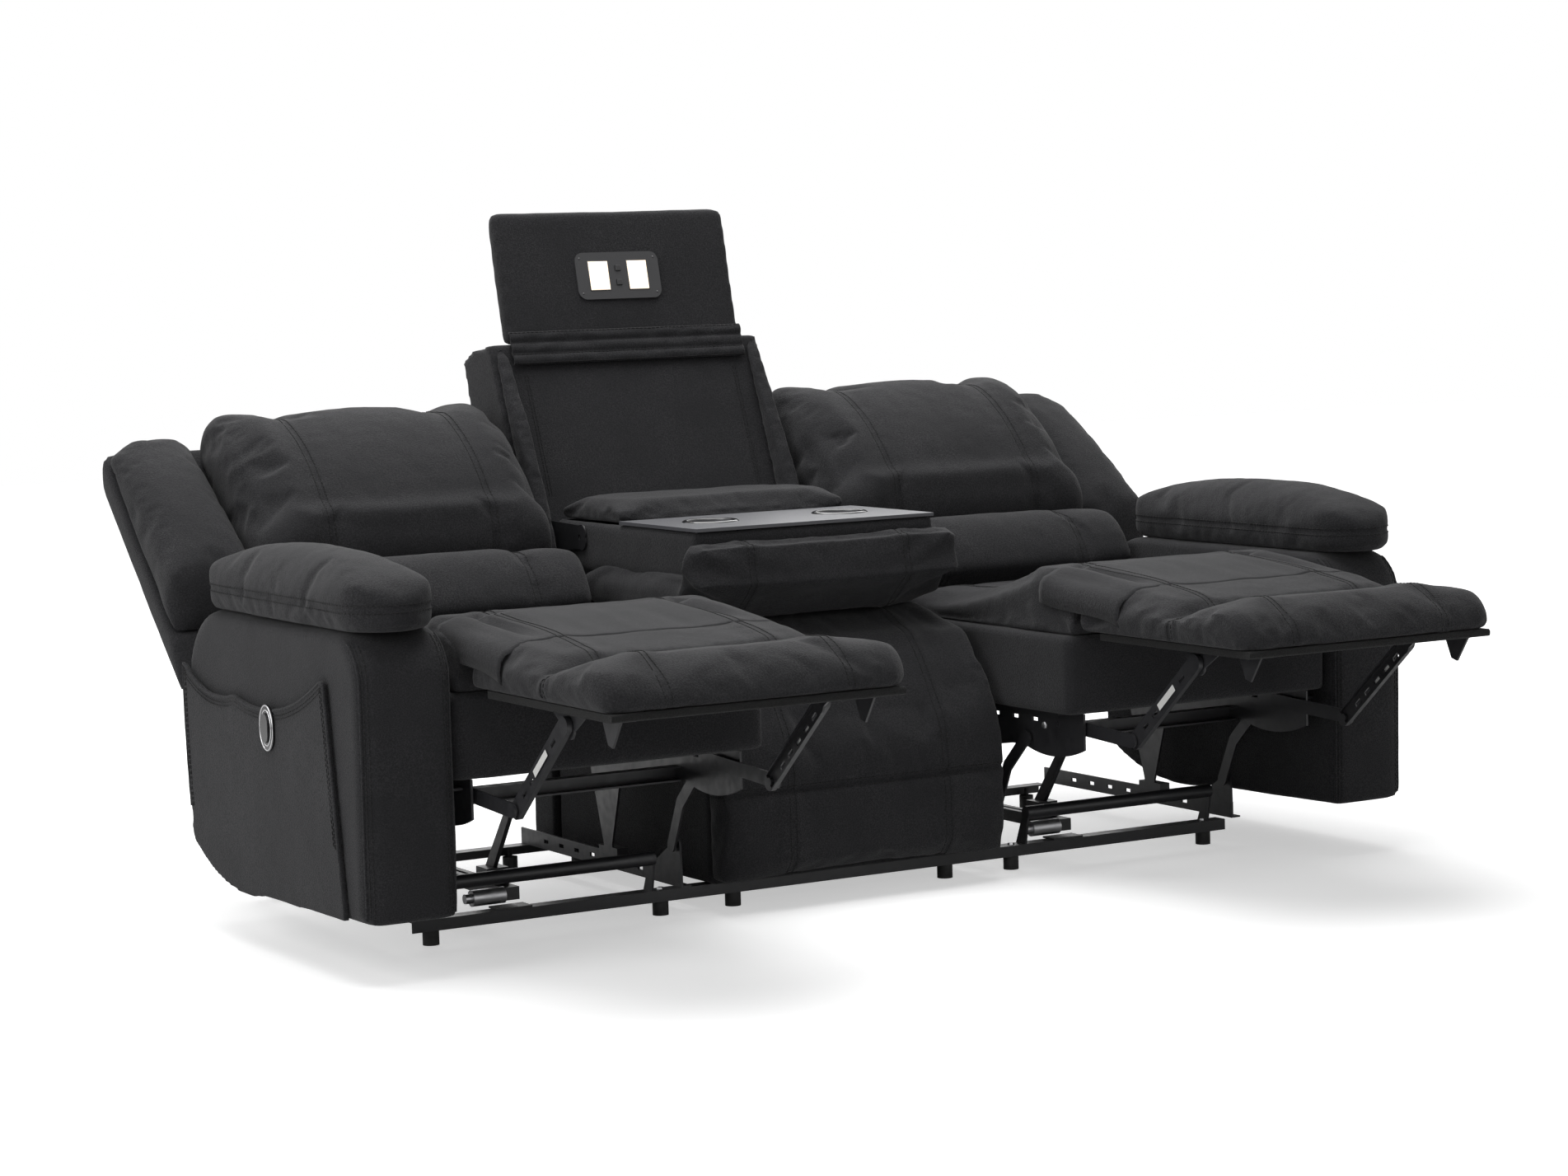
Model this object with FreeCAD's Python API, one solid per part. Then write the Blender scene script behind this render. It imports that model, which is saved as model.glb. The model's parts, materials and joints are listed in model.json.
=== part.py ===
import FreeCAD, Part
import math
import os
from FreeCAD import Vector

# Power reclining sofa with a drop-down console in its middle seat.
# X runs across the sofa, Y to the back, Z up; millimetres.
# Lengths along Y are laid out from the plane of the arm fronts, and the
# finished part is moved so that its origin is the bottom centre of its box.
# The pose is the photographed one: both end units are run forward on the
# base and reclined, their footrests are out, the console is down and the
# head panel stands up.

# Sizes across the sofa
ARM_OUTER = 1046.0
ARM_INNER = 875.0
MIDDLE_HALF = 291.0
UNIT_GAP = 9.0
SEAT_SIDE_GAP = 5.0
PAD_INNER = 313.0
PAD_OUTER = 853.0

# How far things move
CARRIAGE_TRAVEL = 200.0
RECLINE_ANGLE = 24.0
FOOTREST_ANGLE = 90.0
SWITCH_TRAVEL = 1.0

# Clearances
SOFT_GAP = 0.3
PIN_GAP = 0.08
OPEN_GAP = 0.5
FOLD_GAP = 1.5
ARM_BACK_GAP = 3.0

# Steel stock
PLATE = 4.0
RAIL_WALL = 3.0
PIN_R = 5.0
HOLE_R = 3.5

# Base frame
FOOT_R = 14.0
FOOT_HEIGHT = 25.0
FOOT_STUD_R = 5.0
FOOT_XS = (219.0, 362.0, 795.0)
RAIL_HALF = 835.0
RAIL_TOP = 45.0
RAIL_DEPTH = 30.0
RAIL_FRONT_Y = 283.0
REAR_RAIL_Y = 880.0
SIDE_RAIL_HEIGHT = 30.0
SIDE_RAIL_FLANGE = 16.0
SIDE_HOLE_PITCH = 62.0
SLOT_HALF = 9.0

# Recliner mechanism, one on each side of a seat
MECH_INNER_X = 345.0
MECH_OUTER_X = 835.0
SWING_BASE = (300.0, 118.0)
SWING_RISE = 136.0
SWING_KNEE = 16.0
TUBE_CENTRE = (280.0, 103.0)
SIDE_PLATE_TOP = 310.0
SIDE_PLATE_FRONT = 30.0
SIDE_PLATE_REAR = 646.0
LOWER_PIVOT = (112.0, 286.0)
ELBOW = (-100.0, 275.0)
UPPER_PIVOT = (-275.0, 424.0)
LINK_R = 12.0
TOWER_R = 15.0
TOWER_FOOT = 118.0
ARM_BRACKET_YS = (80.0, 500.0)
ARM_BRACKET_WIDTH = 40.0
ARM_BRACKET_DROP = 36.0
CHANNEL_R = 15.0
CHANNEL_DEPTH = 9.0
CHANNEL_WALL = 2.5
CHANNEL_SLOTS = (0.2, 0.35, 0.5, 0.65, 0.8)
BACK_PIVOT = (620.0, 400.0)
SHOE_Y = 520.0
SHOE_LENGTH = 70.0
SHOE_HEIGHT = 14.0
CROSS_Y = 250.0
CROSS_Z = 250.0
CROSS_DEPTH = 26.0
TUBE_R = 12.0
TUBE_END_GAP = 38.0

# Drive
GEARBOX_XS = (-645.0, 480.0)
GEARBOX_Y = 298.0
GEARBOX_R = 21.0
GEARBOX_WIDTH = 30.0
MOTOR_R = 14.0
MOTOR_LENGTH = 60.0
MOTOR_CAP = 12.0
TRACK_WIDTH = 30.0
TRACK_HEIGHT = 22.0
TRACK_END_Y = 640.0
NUT_Y = 370.0
NUT_LENGTH = 44.0
NUT_HEIGHT = 26.0

# Arms
ARM_FRONT_FALL = 4.0
ARM_BOTTOM = 98.0
ARM_TOP = 556.0
ARM_REAR = 740.0
ARM_ROUND = 26.0
ARM_SIDE_PANEL = 10.0
ARM_PAD_TOP = 674.0
ARM_PAD_FRONT = -20.0
ARM_PAD_REAR = 678.0
ARM_PAD_OVERHANG = 5.0
BEZEL_Y = 352.0
BEZEL_Z = 381.0
BEZEL_HALF_Y = 29.0
BEZEL_HALF_Z = 39.0
BEZEL_THICK = 4.0
BUTTON_HALF_Y = 14.0
BUTTON_HALF_Z = 24.0
BUTTON_PROUD = 4.0
BUTTON_DEPTH = 12.0

# Seats of the end units
FOOTREST_PIVOT = (-30.5, 487.5)
FOLD_R = 43.5
SEAT_BOX_BOTTOM = 310.0
SEAT_BOX_TOP = 450.0
SEAT_BOX_REAR = 560.0
SEAT_BOX_ROUND = 18.0
SEAT_CROWN = 553.0
SEAT_CROWN_Y = 150.0
SEAT_REAR_TOP = 485.0
SEAT_REAR = 640.0
SEAT_LEVEL_Y = 462.0
SEAM_HALF = 158.0
SEAM_DIP = 0.93

# Footrest
BOARD_THICK = 12.0
BOARD_BOTTOM = 447.0
BOARD_FRONT = -468.0
BOARD_REAR = -46.0
BOARD_INSET = 16.0
PAD_FOLD_Y = -262.0
PAD_FOLD_Z = 500.0
PAD_ROLL_Y = -385.0
PAD_ROLL_TOP = 521.0
PAD_FRONT_Y = -476.0

# Reclining backs, measured along and square to the shell's rear face
BACK_LEAN_CLOSED = 22.0
SHELL_FOOT = (765.0, 399.0)
SHELL_LENGTH = 540.0
SHELL_THICK = 46.0
WING_FOOT = 136.0
WING_FRONT_LOW = 143.0
WING_FRONT_HIGH = 84.0
PILLOW_SEAM = 112.0
PILLOW_TOP = 548.0
PILLOW_FRONT = 196.0
LUMBAR_FRONT = 236.0
LUMBAR_FOOT = -60.0
BACK_BRACKET_R = 14.0

# Middle seat
MID_FRONT_Y = 192.0
MID_BOX_FRONT = 262.0
MID_BOX_REAR = 850.0
MID_BOX_HALF = 280.0
MID_BOX_TOP = 400.0
MID_SEAT_TOP = 484.0
MID_SEAM_Z = 209.0
MID_SKIRT_Z = 48.0

# Middle back
RECESS_LEAN = 21.3
RECESS_FOOT = (923.0, 633.0)
MID_BACK_FOOT = 45.0
MID_BACK_REAR_TOP = (1178.0, 938.0)
MID_BACK_REAR_FOOT = 930.0
MID_WING_INNER = 252.0
MID_WING_LOW = (861.0, 636.0)
MID_WING_TOP = (1036.0, 968.0)

# Console
CONSOLE_PIVOT = (785.0, 620.0)
BOX_HALF = 244.0
BOX_FRONT = 345.0
BOX_REAR = 888.0
BOX_BOTTOM = 560.0
BOX_TOP = 650.0
BOX_WALL = 15.0
BOX_FLOOR = 10.0
TRAY_REAR = 634.0
TRAY_THICK = 6.0
CUP_R = 43.0
CUP_WALL = 2.5
CUP_DEPTH = 62.0
CUP_HALF_SPACING = 134.0
CUP_Y = 492.0
CUSHION_HALF = 280.0
CUSHION_BOTTOM = 492.0
CUSHION_FRONT = 270.0
ROLL_TOP = 658.0
LID_HALF = 244.0
LID_TOP = 688.0
HINGE_PLATE = 3.0
HINGE_PLATE_GAP = 2.0
HINGE_PLATE_R = 22.0

# Head panel
HEAD_PIVOT = (1050.0, 975.0)
HEAD_LEAN = 12.8
HEAD_HALF = 250.0
HEAD_HEIGHT = 252.0
HEAD_THICK = 30.0
PLATE_HALF_X = 90.0
PLATE_HALF_UP = 46.0
PLATE_CENTRE_UP = 124.0
PLATE_PROUD = 4.0
PLATE_CORNER = 18.0
LAMP_X = 42.0
LAMP_HALF_X = 21.0
LAMP_HALF_UP = 28.0
LAMP_PROUD = 1.5
SWITCH_UPS = (138.0, 110.0)
SWITCH_HALF = 5.5
SWITCH_PROUD = 3.0

# Values that follow from the sizes above
UNIT_INNER = MIDDLE_HALF + UNIT_GAP
SEAT_INNER = UNIT_INNER + SEAT_SIDE_GAP
SEAT_OUTER = ARM_INNER - SEAT_SIDE_GAP
SEAT_CENTRE = (SEAT_INNER + SEAT_OUTER) / 2
SEAT_FRONT = FOOTREST_PIVOT[0] + FOLD_R + FOLD_GAP
BACK_LEAN = BACK_LEAN_CLOSED + RECLINE_ANGLE
PAD_BOTTOM = BOARD_BOTTOM + BOARD_THICK + SOFT_GAP
SIDE_RAIL_TOP = RAIL_TOP + SIDE_RAIL_HEIGHT


def turned(point, pivot, degrees):
    """A (y, z) point turned about a pivot, from +Y towards +Z."""
    a = math.radians(degrees)
    dy = point[0] - pivot[0]
    dz = point[1] - pivot[1]
    return (
        pivot[0] + dy * math.cos(a) - dz * math.sin(a),
        pivot[1] + dy * math.sin(a) + dz * math.cos(a),
    )


def circles_meet(a, ra, b, rb, side):
    """Where circles about a and b cross, on the chosen side of the line from a to b."""
    dy = b[0] - a[0]
    dz = b[1] - a[1]
    span = math.hypot(dy, dz)
    along = (ra * ra - rb * rb + span * span) / (2 * span)
    off = side * math.sqrt(ra * ra - along * along)
    return (
        a[0] + (dy * along - dz * off) / span,
        a[1] + (dz * along + dy * off) / span,
    )


def heading(a, b):
    """The direction from a to b in degrees, in the (y, z) plane."""
    return math.degrees(math.atan2(b[1] - a[1], b[0] - a[0]))


# The footrest linkage closes at its elbow when the footrest is out and in
LOWER_LENGTH = math.dist(LOWER_PIVOT, ELBOW)
UPPER_LENGTH = math.dist(UPPER_PIVOT, ELBOW)
UPPER_PIVOT_IN = turned(UPPER_PIVOT, FOOTREST_PIVOT, FOOTREST_ANGLE)
ELBOW_IN = circles_meet(LOWER_PIVOT, LOWER_LENGTH, UPPER_PIVOT_IN, UPPER_LENGTH, 1)
SWING_REACH = CARRIAGE_TRAVEL / 2
SWING_TOP = (SWING_BASE[0] - SWING_REACH, SWING_BASE[1] + SWING_RISE)


# Solids from outlines


def outline(corners, at, plane="yz", scale=1.0, heart=(0.0, 0.0)):
    """A closed wire of corners (a, b, bulge of the side that starts there); a bulge makes an arc."""
    points = [
        (heart[0] + (a - heart[0]) * scale, heart[1] + (b - heart[1]) * scale, bulge * scale)
        for a, b, bulge in corners
    ]

    def placed(a, b):
        if plane == "yz":
            return Vector(at, a, b)
        if plane == "xz":
            return Vector(a, at, b)
        return Vector(a, b, at)

    edges = []
    for i, (a, b, bulge) in enumerate(points):
        c, d, _ = points[(i + 1) % len(points)]
        if bulge == 0:
            edges.append(Part.LineSegment(placed(a, b), placed(c, d)).toShape())
            continue
        span = math.hypot(c - a, d - b)
        mid = placed((a + c) / 2 + bulge * (d - b) / span, (b + d) / 2 - bulge * (c - a) / span)
        edges.append(Part.Arc(placed(a, b), mid, placed(c, d)).toShape())
    return Part.Wire(edges)


def slab(corners, start, end, plane="yz"):
    """An outline pushed from one plane to another."""
    face = Part.Face(outline(corners, start, plane))
    depth = end - start
    along = {"yz": Vector(depth, 0, 0), "xz": Vector(0, depth, 0), "xy": Vector(0, 0, depth)}
    return face.extrude(along[plane])


def padded(corners, heart, stations, plane="yz"):
    """A cushion: the outline swept through stations of (place, share of full size)."""
    wires = [outline(corners, at, plane, scale, heart) for at, scale in stations]
    return Part.makeLoft(wires, True, True)


def across(low, high, seams=(), end=0.9, edge=28.0, near=34.0, dip=SEAM_DIP):
    """Stations from low to high with drawn-in ends and a sewn channel at each seam."""
    stations = [(low, end), (low + edge, 1.0)]
    for seam in seams:
        stations += [(seam - near, 1.0), (seam, dip), (seam + near, 1.0)]
    return stations + [(high - edge, 1.0), (high, end)]


def round_bar(a, b, radius, x0, x1):
    """A flat link with round ends, between two (y, z) points."""
    dy = b[0] - a[0]
    dz = b[1] - a[1]
    span = math.hypot(dy, dz)
    ny = -dz / span * radius
    nz = dy / span * radius
    corners = [
        (a[0] + ny, a[1] + nz, -radius),
        (a[0] - ny, a[1] - nz, 0),
        (b[0] - ny, b[1] - nz, -radius),
        (b[0] + ny, b[1] + nz, 0),
    ]
    return slab([(y, z, -bulge) for y, z, bulge in corners], x0, x1)


def hooked_bar(a, b, radius, knee, x0, x1):
    """A flat link with round ends that bends out by knee between its (y, z) ends."""
    dy = b[0] - a[0]
    dz = b[1] - a[1]
    span = math.hypot(dy, dz)
    ny = -dz / span
    nz = dy / span
    middle = (between(a, b, 0.5)[0] - ny * knee, between(a, b, 0.5)[1] - nz * knee)
    corners = [
        (a[0] + ny * radius, a[1] + nz * radius, radius),
        (a[0] - ny * radius, a[1] - nz * radius, 0),
        (middle[0] - ny * radius, middle[1] - nz * radius, 0),
        (b[0] - ny * radius, b[1] - nz * radius, radius),
        (b[0] + ny * radius, b[1] + nz * radius, 0),
        (middle[0] + ny * radius, middle[1] + nz * radius, 0),
    ]
    return slab(corners, x0, x1)


def pin(point, radius, x0, x1):
    """A round pin or hole along X."""
    return Part.makeCylinder(radius, abs(x1 - x0), Vector(min(x0, x1), point[0], point[1]), Vector(1, 0, 0))


def block(x0, x1, y0, y1, z0, z1):
    return Part.makeBox(x1 - x0, y1 - y0, z1 - z0, Vector(x0, y0, z0))


def mirrored(shape):
    return shape.mirror(Vector(0, 0, 0), Vector(1, 0, 0))


def leant(shape, foot, degrees):
    """A piece drawn upright at the origin, put at foot and leant back."""
    copy = shape.copy()
    copy.rotate(Vector(0, 0, 0), Vector(1, 0, 0), -degrees)
    copy.translate(Vector(0, foot[0], foot[1]))
    return copy


def between(a, b, share):
    return (a[0] + (b[0] - a[0]) * share, a[1] + (b[1] - a[1]) * share)


# Base frame on the floor


def front_rail():
    """Steel angle under the front, with its flange on top."""
    y0 = RAIL_FRONT_Y
    top = block(-RAIL_HALF, RAIL_HALF, y0, y0 + RAIL_DEPTH, RAIL_TOP - RAIL_WALL, RAIL_TOP)
    web = block(-RAIL_HALF, RAIL_HALF, y0, y0 + RAIL_WALL, FOOT_HEIGHT, RAIL_TOP)
    return top.fuse(web).removeSplitter()


def mechanism_layers():
    """The X place of each side mechanism and the direction into its seat, for the right-hand unit."""
    return ((MECH_INNER_X, 1), (MECH_OUTER_X, -1))


def layer(x, inward, low, high):
    """A slice between two distances from a side plate, counted into the seat."""
    a = x + inward * low
    b = x + inward * high
    return min(a, b), max(a, b)


TOWER_LAYER = (-20.0, -16.0)
SWING_LAYER = (-11.0, -7.0)
SIDE_LAYER = (-2.0, 2.0)
LOWER_LAYER = (6.0, 10.0)
UPPER_LAYER = (13.0, 13.0 + CHANNEL_DEPTH)
BRACKET_LAYER = (24.0, 28.0)


def punched(y, z, x0, x1):
    """A slot through a plate, to be cut out."""
    return block(x0, x1, y - SLOT_HALF, y + SLOT_HALF, z - HOLE_R, z + HOLE_R)


def side_rail(x, inward):
    """Punched angle from front to back with a tower for the swing link."""
    inner = -20.0
    web_x = layer(x, inward, inner, inner + PLATE)
    flange_x = layer(x, inward, inner - SIDE_RAIL_FLANGE, inner)
    web = block(*web_x, RAIL_FRONT_Y, REAR_RAIL_Y + RAIL_DEPTH, RAIL_TOP, SIDE_RAIL_TOP)
    flange = block(*flange_x, RAIL_FRONT_Y, REAR_RAIL_Y + RAIL_DEPTH, RAIL_TOP, RAIL_TOP + RAIL_WALL)
    tower_x = layer(x, inward, *TOWER_LAYER)
    y, z = SWING_BASE
    tower = slab(
        [
            (y - TOWER_R, z, 0),
            (RAIL_FRONT_Y, RAIL_TOP, 0),
            (RAIL_FRONT_Y + TOWER_FOOT, RAIL_TOP, 0),
            (RAIL_FRONT_Y + TOWER_FOOT, SIDE_RAIL_TOP - 8, 0),
            (y + TOWER_R, z, TOWER_R * 0.98),
        ],
        *tower_x,
    )
    rail = web.fuse(flange).fuse(tower).removeSplitter()
    holes = []
    hole_y = RAIL_FRONT_Y + 150.0
    while hole_y < REAR_RAIL_Y - 20:
        holes.append(punched(hole_y, SIDE_RAIL_TOP - SIDE_RAIL_HEIGHT / 2, *web_x))
        hole_y += SIDE_HOLE_PITCH
    holes.append(pin(SWING_BASE, PIN_R + PIN_GAP, *tower_x))
    return rail.cut(Part.makeCompound(holes))


def base_side_rails():
    """Two punched side rails under each end unit and the angle across their back ends."""
    rails = []
    for x, inward in mechanism_layers():
        rail = side_rail(x, inward)
        rails += [rail, mirrored(rail)]
    y1 = REAR_RAIL_Y + RAIL_DEPTH
    top = block(-RAIL_HALF, RAIL_HALF, REAR_RAIL_Y, y1, RAIL_TOP - RAIL_WALL, RAIL_TOP)
    web = block(-RAIL_HALF, RAIL_HALF, y1 - RAIL_WALL, y1, FOOT_HEIGHT, RAIL_TOP)
    return Part.makeCompound(rails + [top.fuse(web).removeSplitter()])


def feet():
    """Rubber feet on hexagonal studs below both rails."""
    made = []
    for y in (RAIL_FRONT_Y + RAIL_DEPTH / 2 + RAIL_WALL / 2, REAR_RAIL_Y + RAIL_DEPTH / 2 - RAIL_WALL / 2):
        for x in FOOT_XS:
            for side in (-1, 1):
                centre = Vector(side * x, y, 0)
                pad = Part.makeCylinder(FOOT_R, FOOT_HEIGHT, centre)
                flats = [
                    (centre.x + FOOT_STUD_R * math.cos(turn), centre.y + FOOT_STUD_R * math.sin(turn), 0)
                    for turn in (math.radians(60 * i) for i in range(6))
                ]
                made.append(pad.fuse(slab(flats, FOOT_HEIGHT, RAIL_TOP - RAIL_WALL, plane="xy")))
    return Part.makeCompound(made)


def front_tube(side):
    """Cross tube ahead of the front rail, on two arms from the rail's top."""
    x0 = MECH_INNER_X + TUBE_END_GAP
    x1 = MECH_OUTER_X - TUBE_END_GAP
    tube = pin(TUBE_CENTRE, TUBE_R, x0, x1)
    y, z = TUBE_CENTRE
    for x in (x0, x1 - PLATE):
        arm = slab(
            [
                (y - TUBE_R * 0.7, z, 0),
                (RAIL_FRONT_Y, RAIL_TOP, 0),
                (RAIL_FRONT_Y + RAIL_DEPTH, RAIL_TOP, 0),
                (y + TUBE_R * 0.7, z, 0),
            ],
            x,
            x + PLATE,
        )
        tube = tube.fuse(arm)
    tube = tube.removeSplitter()
    return tube if side > 0 else mirrored(tube)


def gearbox_z():
    return RAIL_TOP + RAIL_WALL + GEARBOX_R


def motor_can(x):
    """Motor lying across the sofa, left of its gearbox, with a neck and end cap."""
    z = gearbox_z()
    end = x - GEARBOX_WIDTH / 2
    can = pin((GEARBOX_Y, z), MOTOR_R, end - MOTOR_LENGTH, end)
    cap = pin((GEARBOX_Y, z), MOTOR_R * 0.6, end - MOTOR_LENGTH - MOTOR_CAP, end - MOTOR_LENGTH)
    return can.fuse(cap).removeSplitter()


def gearbox(x):
    """Round gearbox on its foot plate, with the track that guides the drive nut."""
    z = gearbox_z()
    half = GEARBOX_WIDTH / 2
    case = pin((GEARBOX_Y, z), GEARBOX_R, x - half, x + half)
    foot = block(x - 32, x + 32, GEARBOX_Y - 13, GEARBOX_Y + 24, RAIL_TOP, RAIL_TOP + RAIL_WALL)
    track_bottom = z - TRACK_HEIGHT / 2
    track = block(
        x - TRACK_WIDTH / 2, x + TRACK_WIDTH / 2, GEARBOX_Y, TRACK_END_Y,
        track_bottom, track_bottom + TRACK_HEIGHT
    )
    track_top = track_bottom + TRACK_HEIGHT
    groove = block(x - 4, x + 4, GEARBOX_Y + GEARBOX_R + 8, TRACK_END_Y - 10, z + 4, track_top)
    return case.fuse(foot).fuse(track).removeSplitter().cut(groove)


# Steel work that rides with an end unit


def arm_bracket(x, y):
    """Angle from an outer side plate to the arm's inner face."""
    y0 = y - ARM_BRACKET_WIDTH / 2
    y1 = y + ARM_BRACKET_WIDTH / 2
    z = SIDE_PLATE_TOP - SIDE_RAIL_FLANGE
    shelf = block(x, ARM_INNER, y0, y1, z - PLATE, z)
    return shelf.fuse(block(ARM_INNER - PLATE, ARM_INNER, y0, y1, z - ARM_BRACKET_DROP, z))


def seat_frame(gear_x, side):
    """Side plates with their shoe hangers, the cross channel, and the arm down to the drive nut."""
    pieces = []
    for x, inward in mechanism_layers():
        x0, x1 = layer(x, inward, *SIDE_LAYER)
        plate = slab(
            [
                (SIDE_PLATE_FRONT, SIDE_PLATE_TOP, 0),
                (SIDE_PLATE_FRONT, SWING_TOP[1] - 8, 18),
                (SWING_TOP[0] + 26, SWING_TOP[1] - 12, 0),
                (CROSS_Y + 60, CROSS_Z - 20, 0),
                (SHOE_Y - 60, CROSS_Z - 20, 0),
                (SHOE_Y - 16, RAIL_TOP + SHOE_HEIGHT + 36, 0),
                (SHOE_Y + 16, RAIL_TOP + SHOE_HEIGHT + 36, 0),
                (SHOE_Y + 62, CROSS_Z - 10, 0),
                (SIDE_PLATE_REAR, CROSS_Z + 18, 0),
                (SIDE_PLATE_REAR, BACK_PIVOT[1], 24),
                (BACK_PIVOT[0] - 24, BACK_PIVOT[1], 0),
                (SEAT_BOX_REAR + 14, SIDE_PLATE_TOP, 0),
            ],
            x0,
            x1,
        )
        flange_x = layer(x, inward, SIDE_LAYER[0] - 26, SIDE_LAYER[0])
        flange_bottom = SIDE_PLATE_TOP - RAIL_WALL
        flange = block(*flange_x, SIDE_PLATE_FRONT + 40, SEAT_BOX_REAR, flange_bottom, SIDE_PLATE_TOP)
        plate = plate.fuse(flange)
        holes = [pin(p, PIN_R + PIN_GAP, x0, x1) for p in (LOWER_PIVOT, BACK_PIVOT)]
        hole_y = LOWER_PIVOT[0] + 70
        while hole_y < SHOE_Y:
            holes.append(punched(hole_y, SIDE_PLATE_TOP - 22, x0, x1))
            hole_y += SIDE_HOLE_PITCH
        plate = plate.cut(Part.makeCompound(holes))
        hanger_x = layer(x, inward, SIDE_LAYER[0] - 14 - PLATE, SIDE_LAYER[1])
        shoe_z = SIDE_RAIL_TOP + SOFT_GAP
        shoe_y = (SHOE_Y - SHOE_LENGTH / 2, SHOE_Y + SHOE_LENGTH / 2)
        shoe = block(*hanger_x, *shoe_y, shoe_z, shoe_z + SHOE_HEIGHT)
        neck = block(x0, x1, SHOE_Y - 16, SHOE_Y + 16, shoe_z, RAIL_TOP + SHOE_HEIGHT + 40)
        plate = plate.fuse(neck).fuse(shoe)
        if inward < 0:
            for y in ARM_BRACKET_YS:
                plate = plate.fuse(arm_bracket(x1, y))
        pieces.append(plate.removeSplitter())
    inner = MECH_INNER_X + SIDE_LAYER[1]
    outer = MECH_OUTER_X - SIDE_LAYER[1]
    half = CROSS_DEPTH / 2
    channel = block(inner, outer, CROSS_Y - half, CROSS_Y + half, CROSS_Z - half, CROSS_Z + half)
    hollow_y = (CROSS_Y - half, CROSS_Y + half - RAIL_WALL)
    hollow_z = (CROSS_Z - half + RAIL_WALL, CROSS_Z + half - RAIL_WALL)
    hollow = block(inner, outer, *hollow_y, *hollow_z)
    pieces.append(channel.cut(hollow))
    frame = Part.makeCompound(pieces)
    if side < 0:
        frame = mirrored(frame)
    nut_bottom = gearbox_z() + TRACK_HEIGHT / 2 + SOFT_GAP
    nut_y = (NUT_Y - NUT_LENGTH / 2, NUT_Y + NUT_LENGTH / 2)
    nut = block(gear_x - 20, gear_x + 20, *nut_y, nut_bottom, nut_bottom + NUT_HEIGHT)
    y0 = CROSS_Y + half
    arm = slab(
        [
            (y0, CROSS_Z - half, 0),
            (NUT_Y - 12, nut_bottom + NUT_HEIGHT, 0),
            (NUT_Y + 18, nut_bottom + NUT_HEIGHT, 0),
            (y0, CROSS_Z + half, 0),
        ],
        gear_x - PLATE,
        gear_x + PLATE,
    )
    return Part.makeCompound([frame, nut.fuse(arm).removeSplitter()])


def swing_links(side):
    """Bent links from the base towers up to the side plates."""
    made = []
    for x, inward in mechanism_layers():
        x0, x1 = layer(x, inward, *SWING_LAYER)
        bar = hooked_bar(SWING_BASE, SWING_TOP, LINK_R, SWING_KNEE, x0, x1)
        low = layer(x, inward, TOWER_LAYER[0] - 3, SWING_LAYER[0])
        made.append(bar.fuse(pin(SWING_BASE, PIN_R, *low)).removeSplitter())
    links = Part.makeCompound(made)
    return links if side > 0 else mirrored(links)


def lower_links(side):
    """Flat links from the side plates forward to the elbows."""
    made = []
    for x, inward in mechanism_layers():
        x0, x1 = layer(x, inward, *LOWER_LAYER)
        bar = round_bar(LOWER_PIVOT, ELBOW, LINK_R, x0, x1)
        root = layer(x, inward, SIDE_LAYER[0] - 2, LOWER_LAYER[0])
        made.append(bar.fuse(pin(LOWER_PIVOT, PIN_R, *root)).removeSplitter())
    links = Part.makeCompound(made)
    return links if side > 0 else mirrored(links)


def upper_links(side):
    """Punched channels from the elbows up to the footrest brackets."""
    made = []
    for x, inward in mechanism_layers():
        x0, x1 = layer(x, inward, *UPPER_LAYER)
        bar = round_bar(ELBOW, UPPER_PIVOT, CHANNEL_R, x0, x1)
        hollow_x = layer(x, inward, UPPER_LAYER[0] + CHANNEL_WALL, UPPER_LAYER[1])
        rise = heading(ELBOW, UPPER_PIVOT)
        half = CHANNEL_R - CHANNEL_WALL
        hollow = block(*hollow_x, ELBOW[0], ELBOW[0] + UPPER_LENGTH, ELBOW[1] - half, ELBOW[1] + half)
        holes = [punched(ELBOW[0] + share * UPPER_LENGTH, ELBOW[1], x0, x1) for share in CHANNEL_SLOTS]
        cuts = Part.makeCompound([hollow] + holes)
        cuts.rotate(Vector(0, ELBOW[0], ELBOW[1]), Vector(1, 0, 0), rise)
        bar = bar.cut(cuts)
        head = layer(x, inward, UPPER_LAYER[0], BRACKET_LAYER[1] + 2)
        rivet = layer(x, inward, LOWER_LAYER[1] + OPEN_GAP, UPPER_LAYER[1])
        bar = bar.fuse(pin(UPPER_PIVOT, PIN_R, *head)).fuse(pin(ELBOW, PIN_R + 2, *rivet))
        made.append(bar.removeSplitter())
    links = Part.makeCompound(made)
    return links if side > 0 else mirrored(links)


# Footrests


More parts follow.
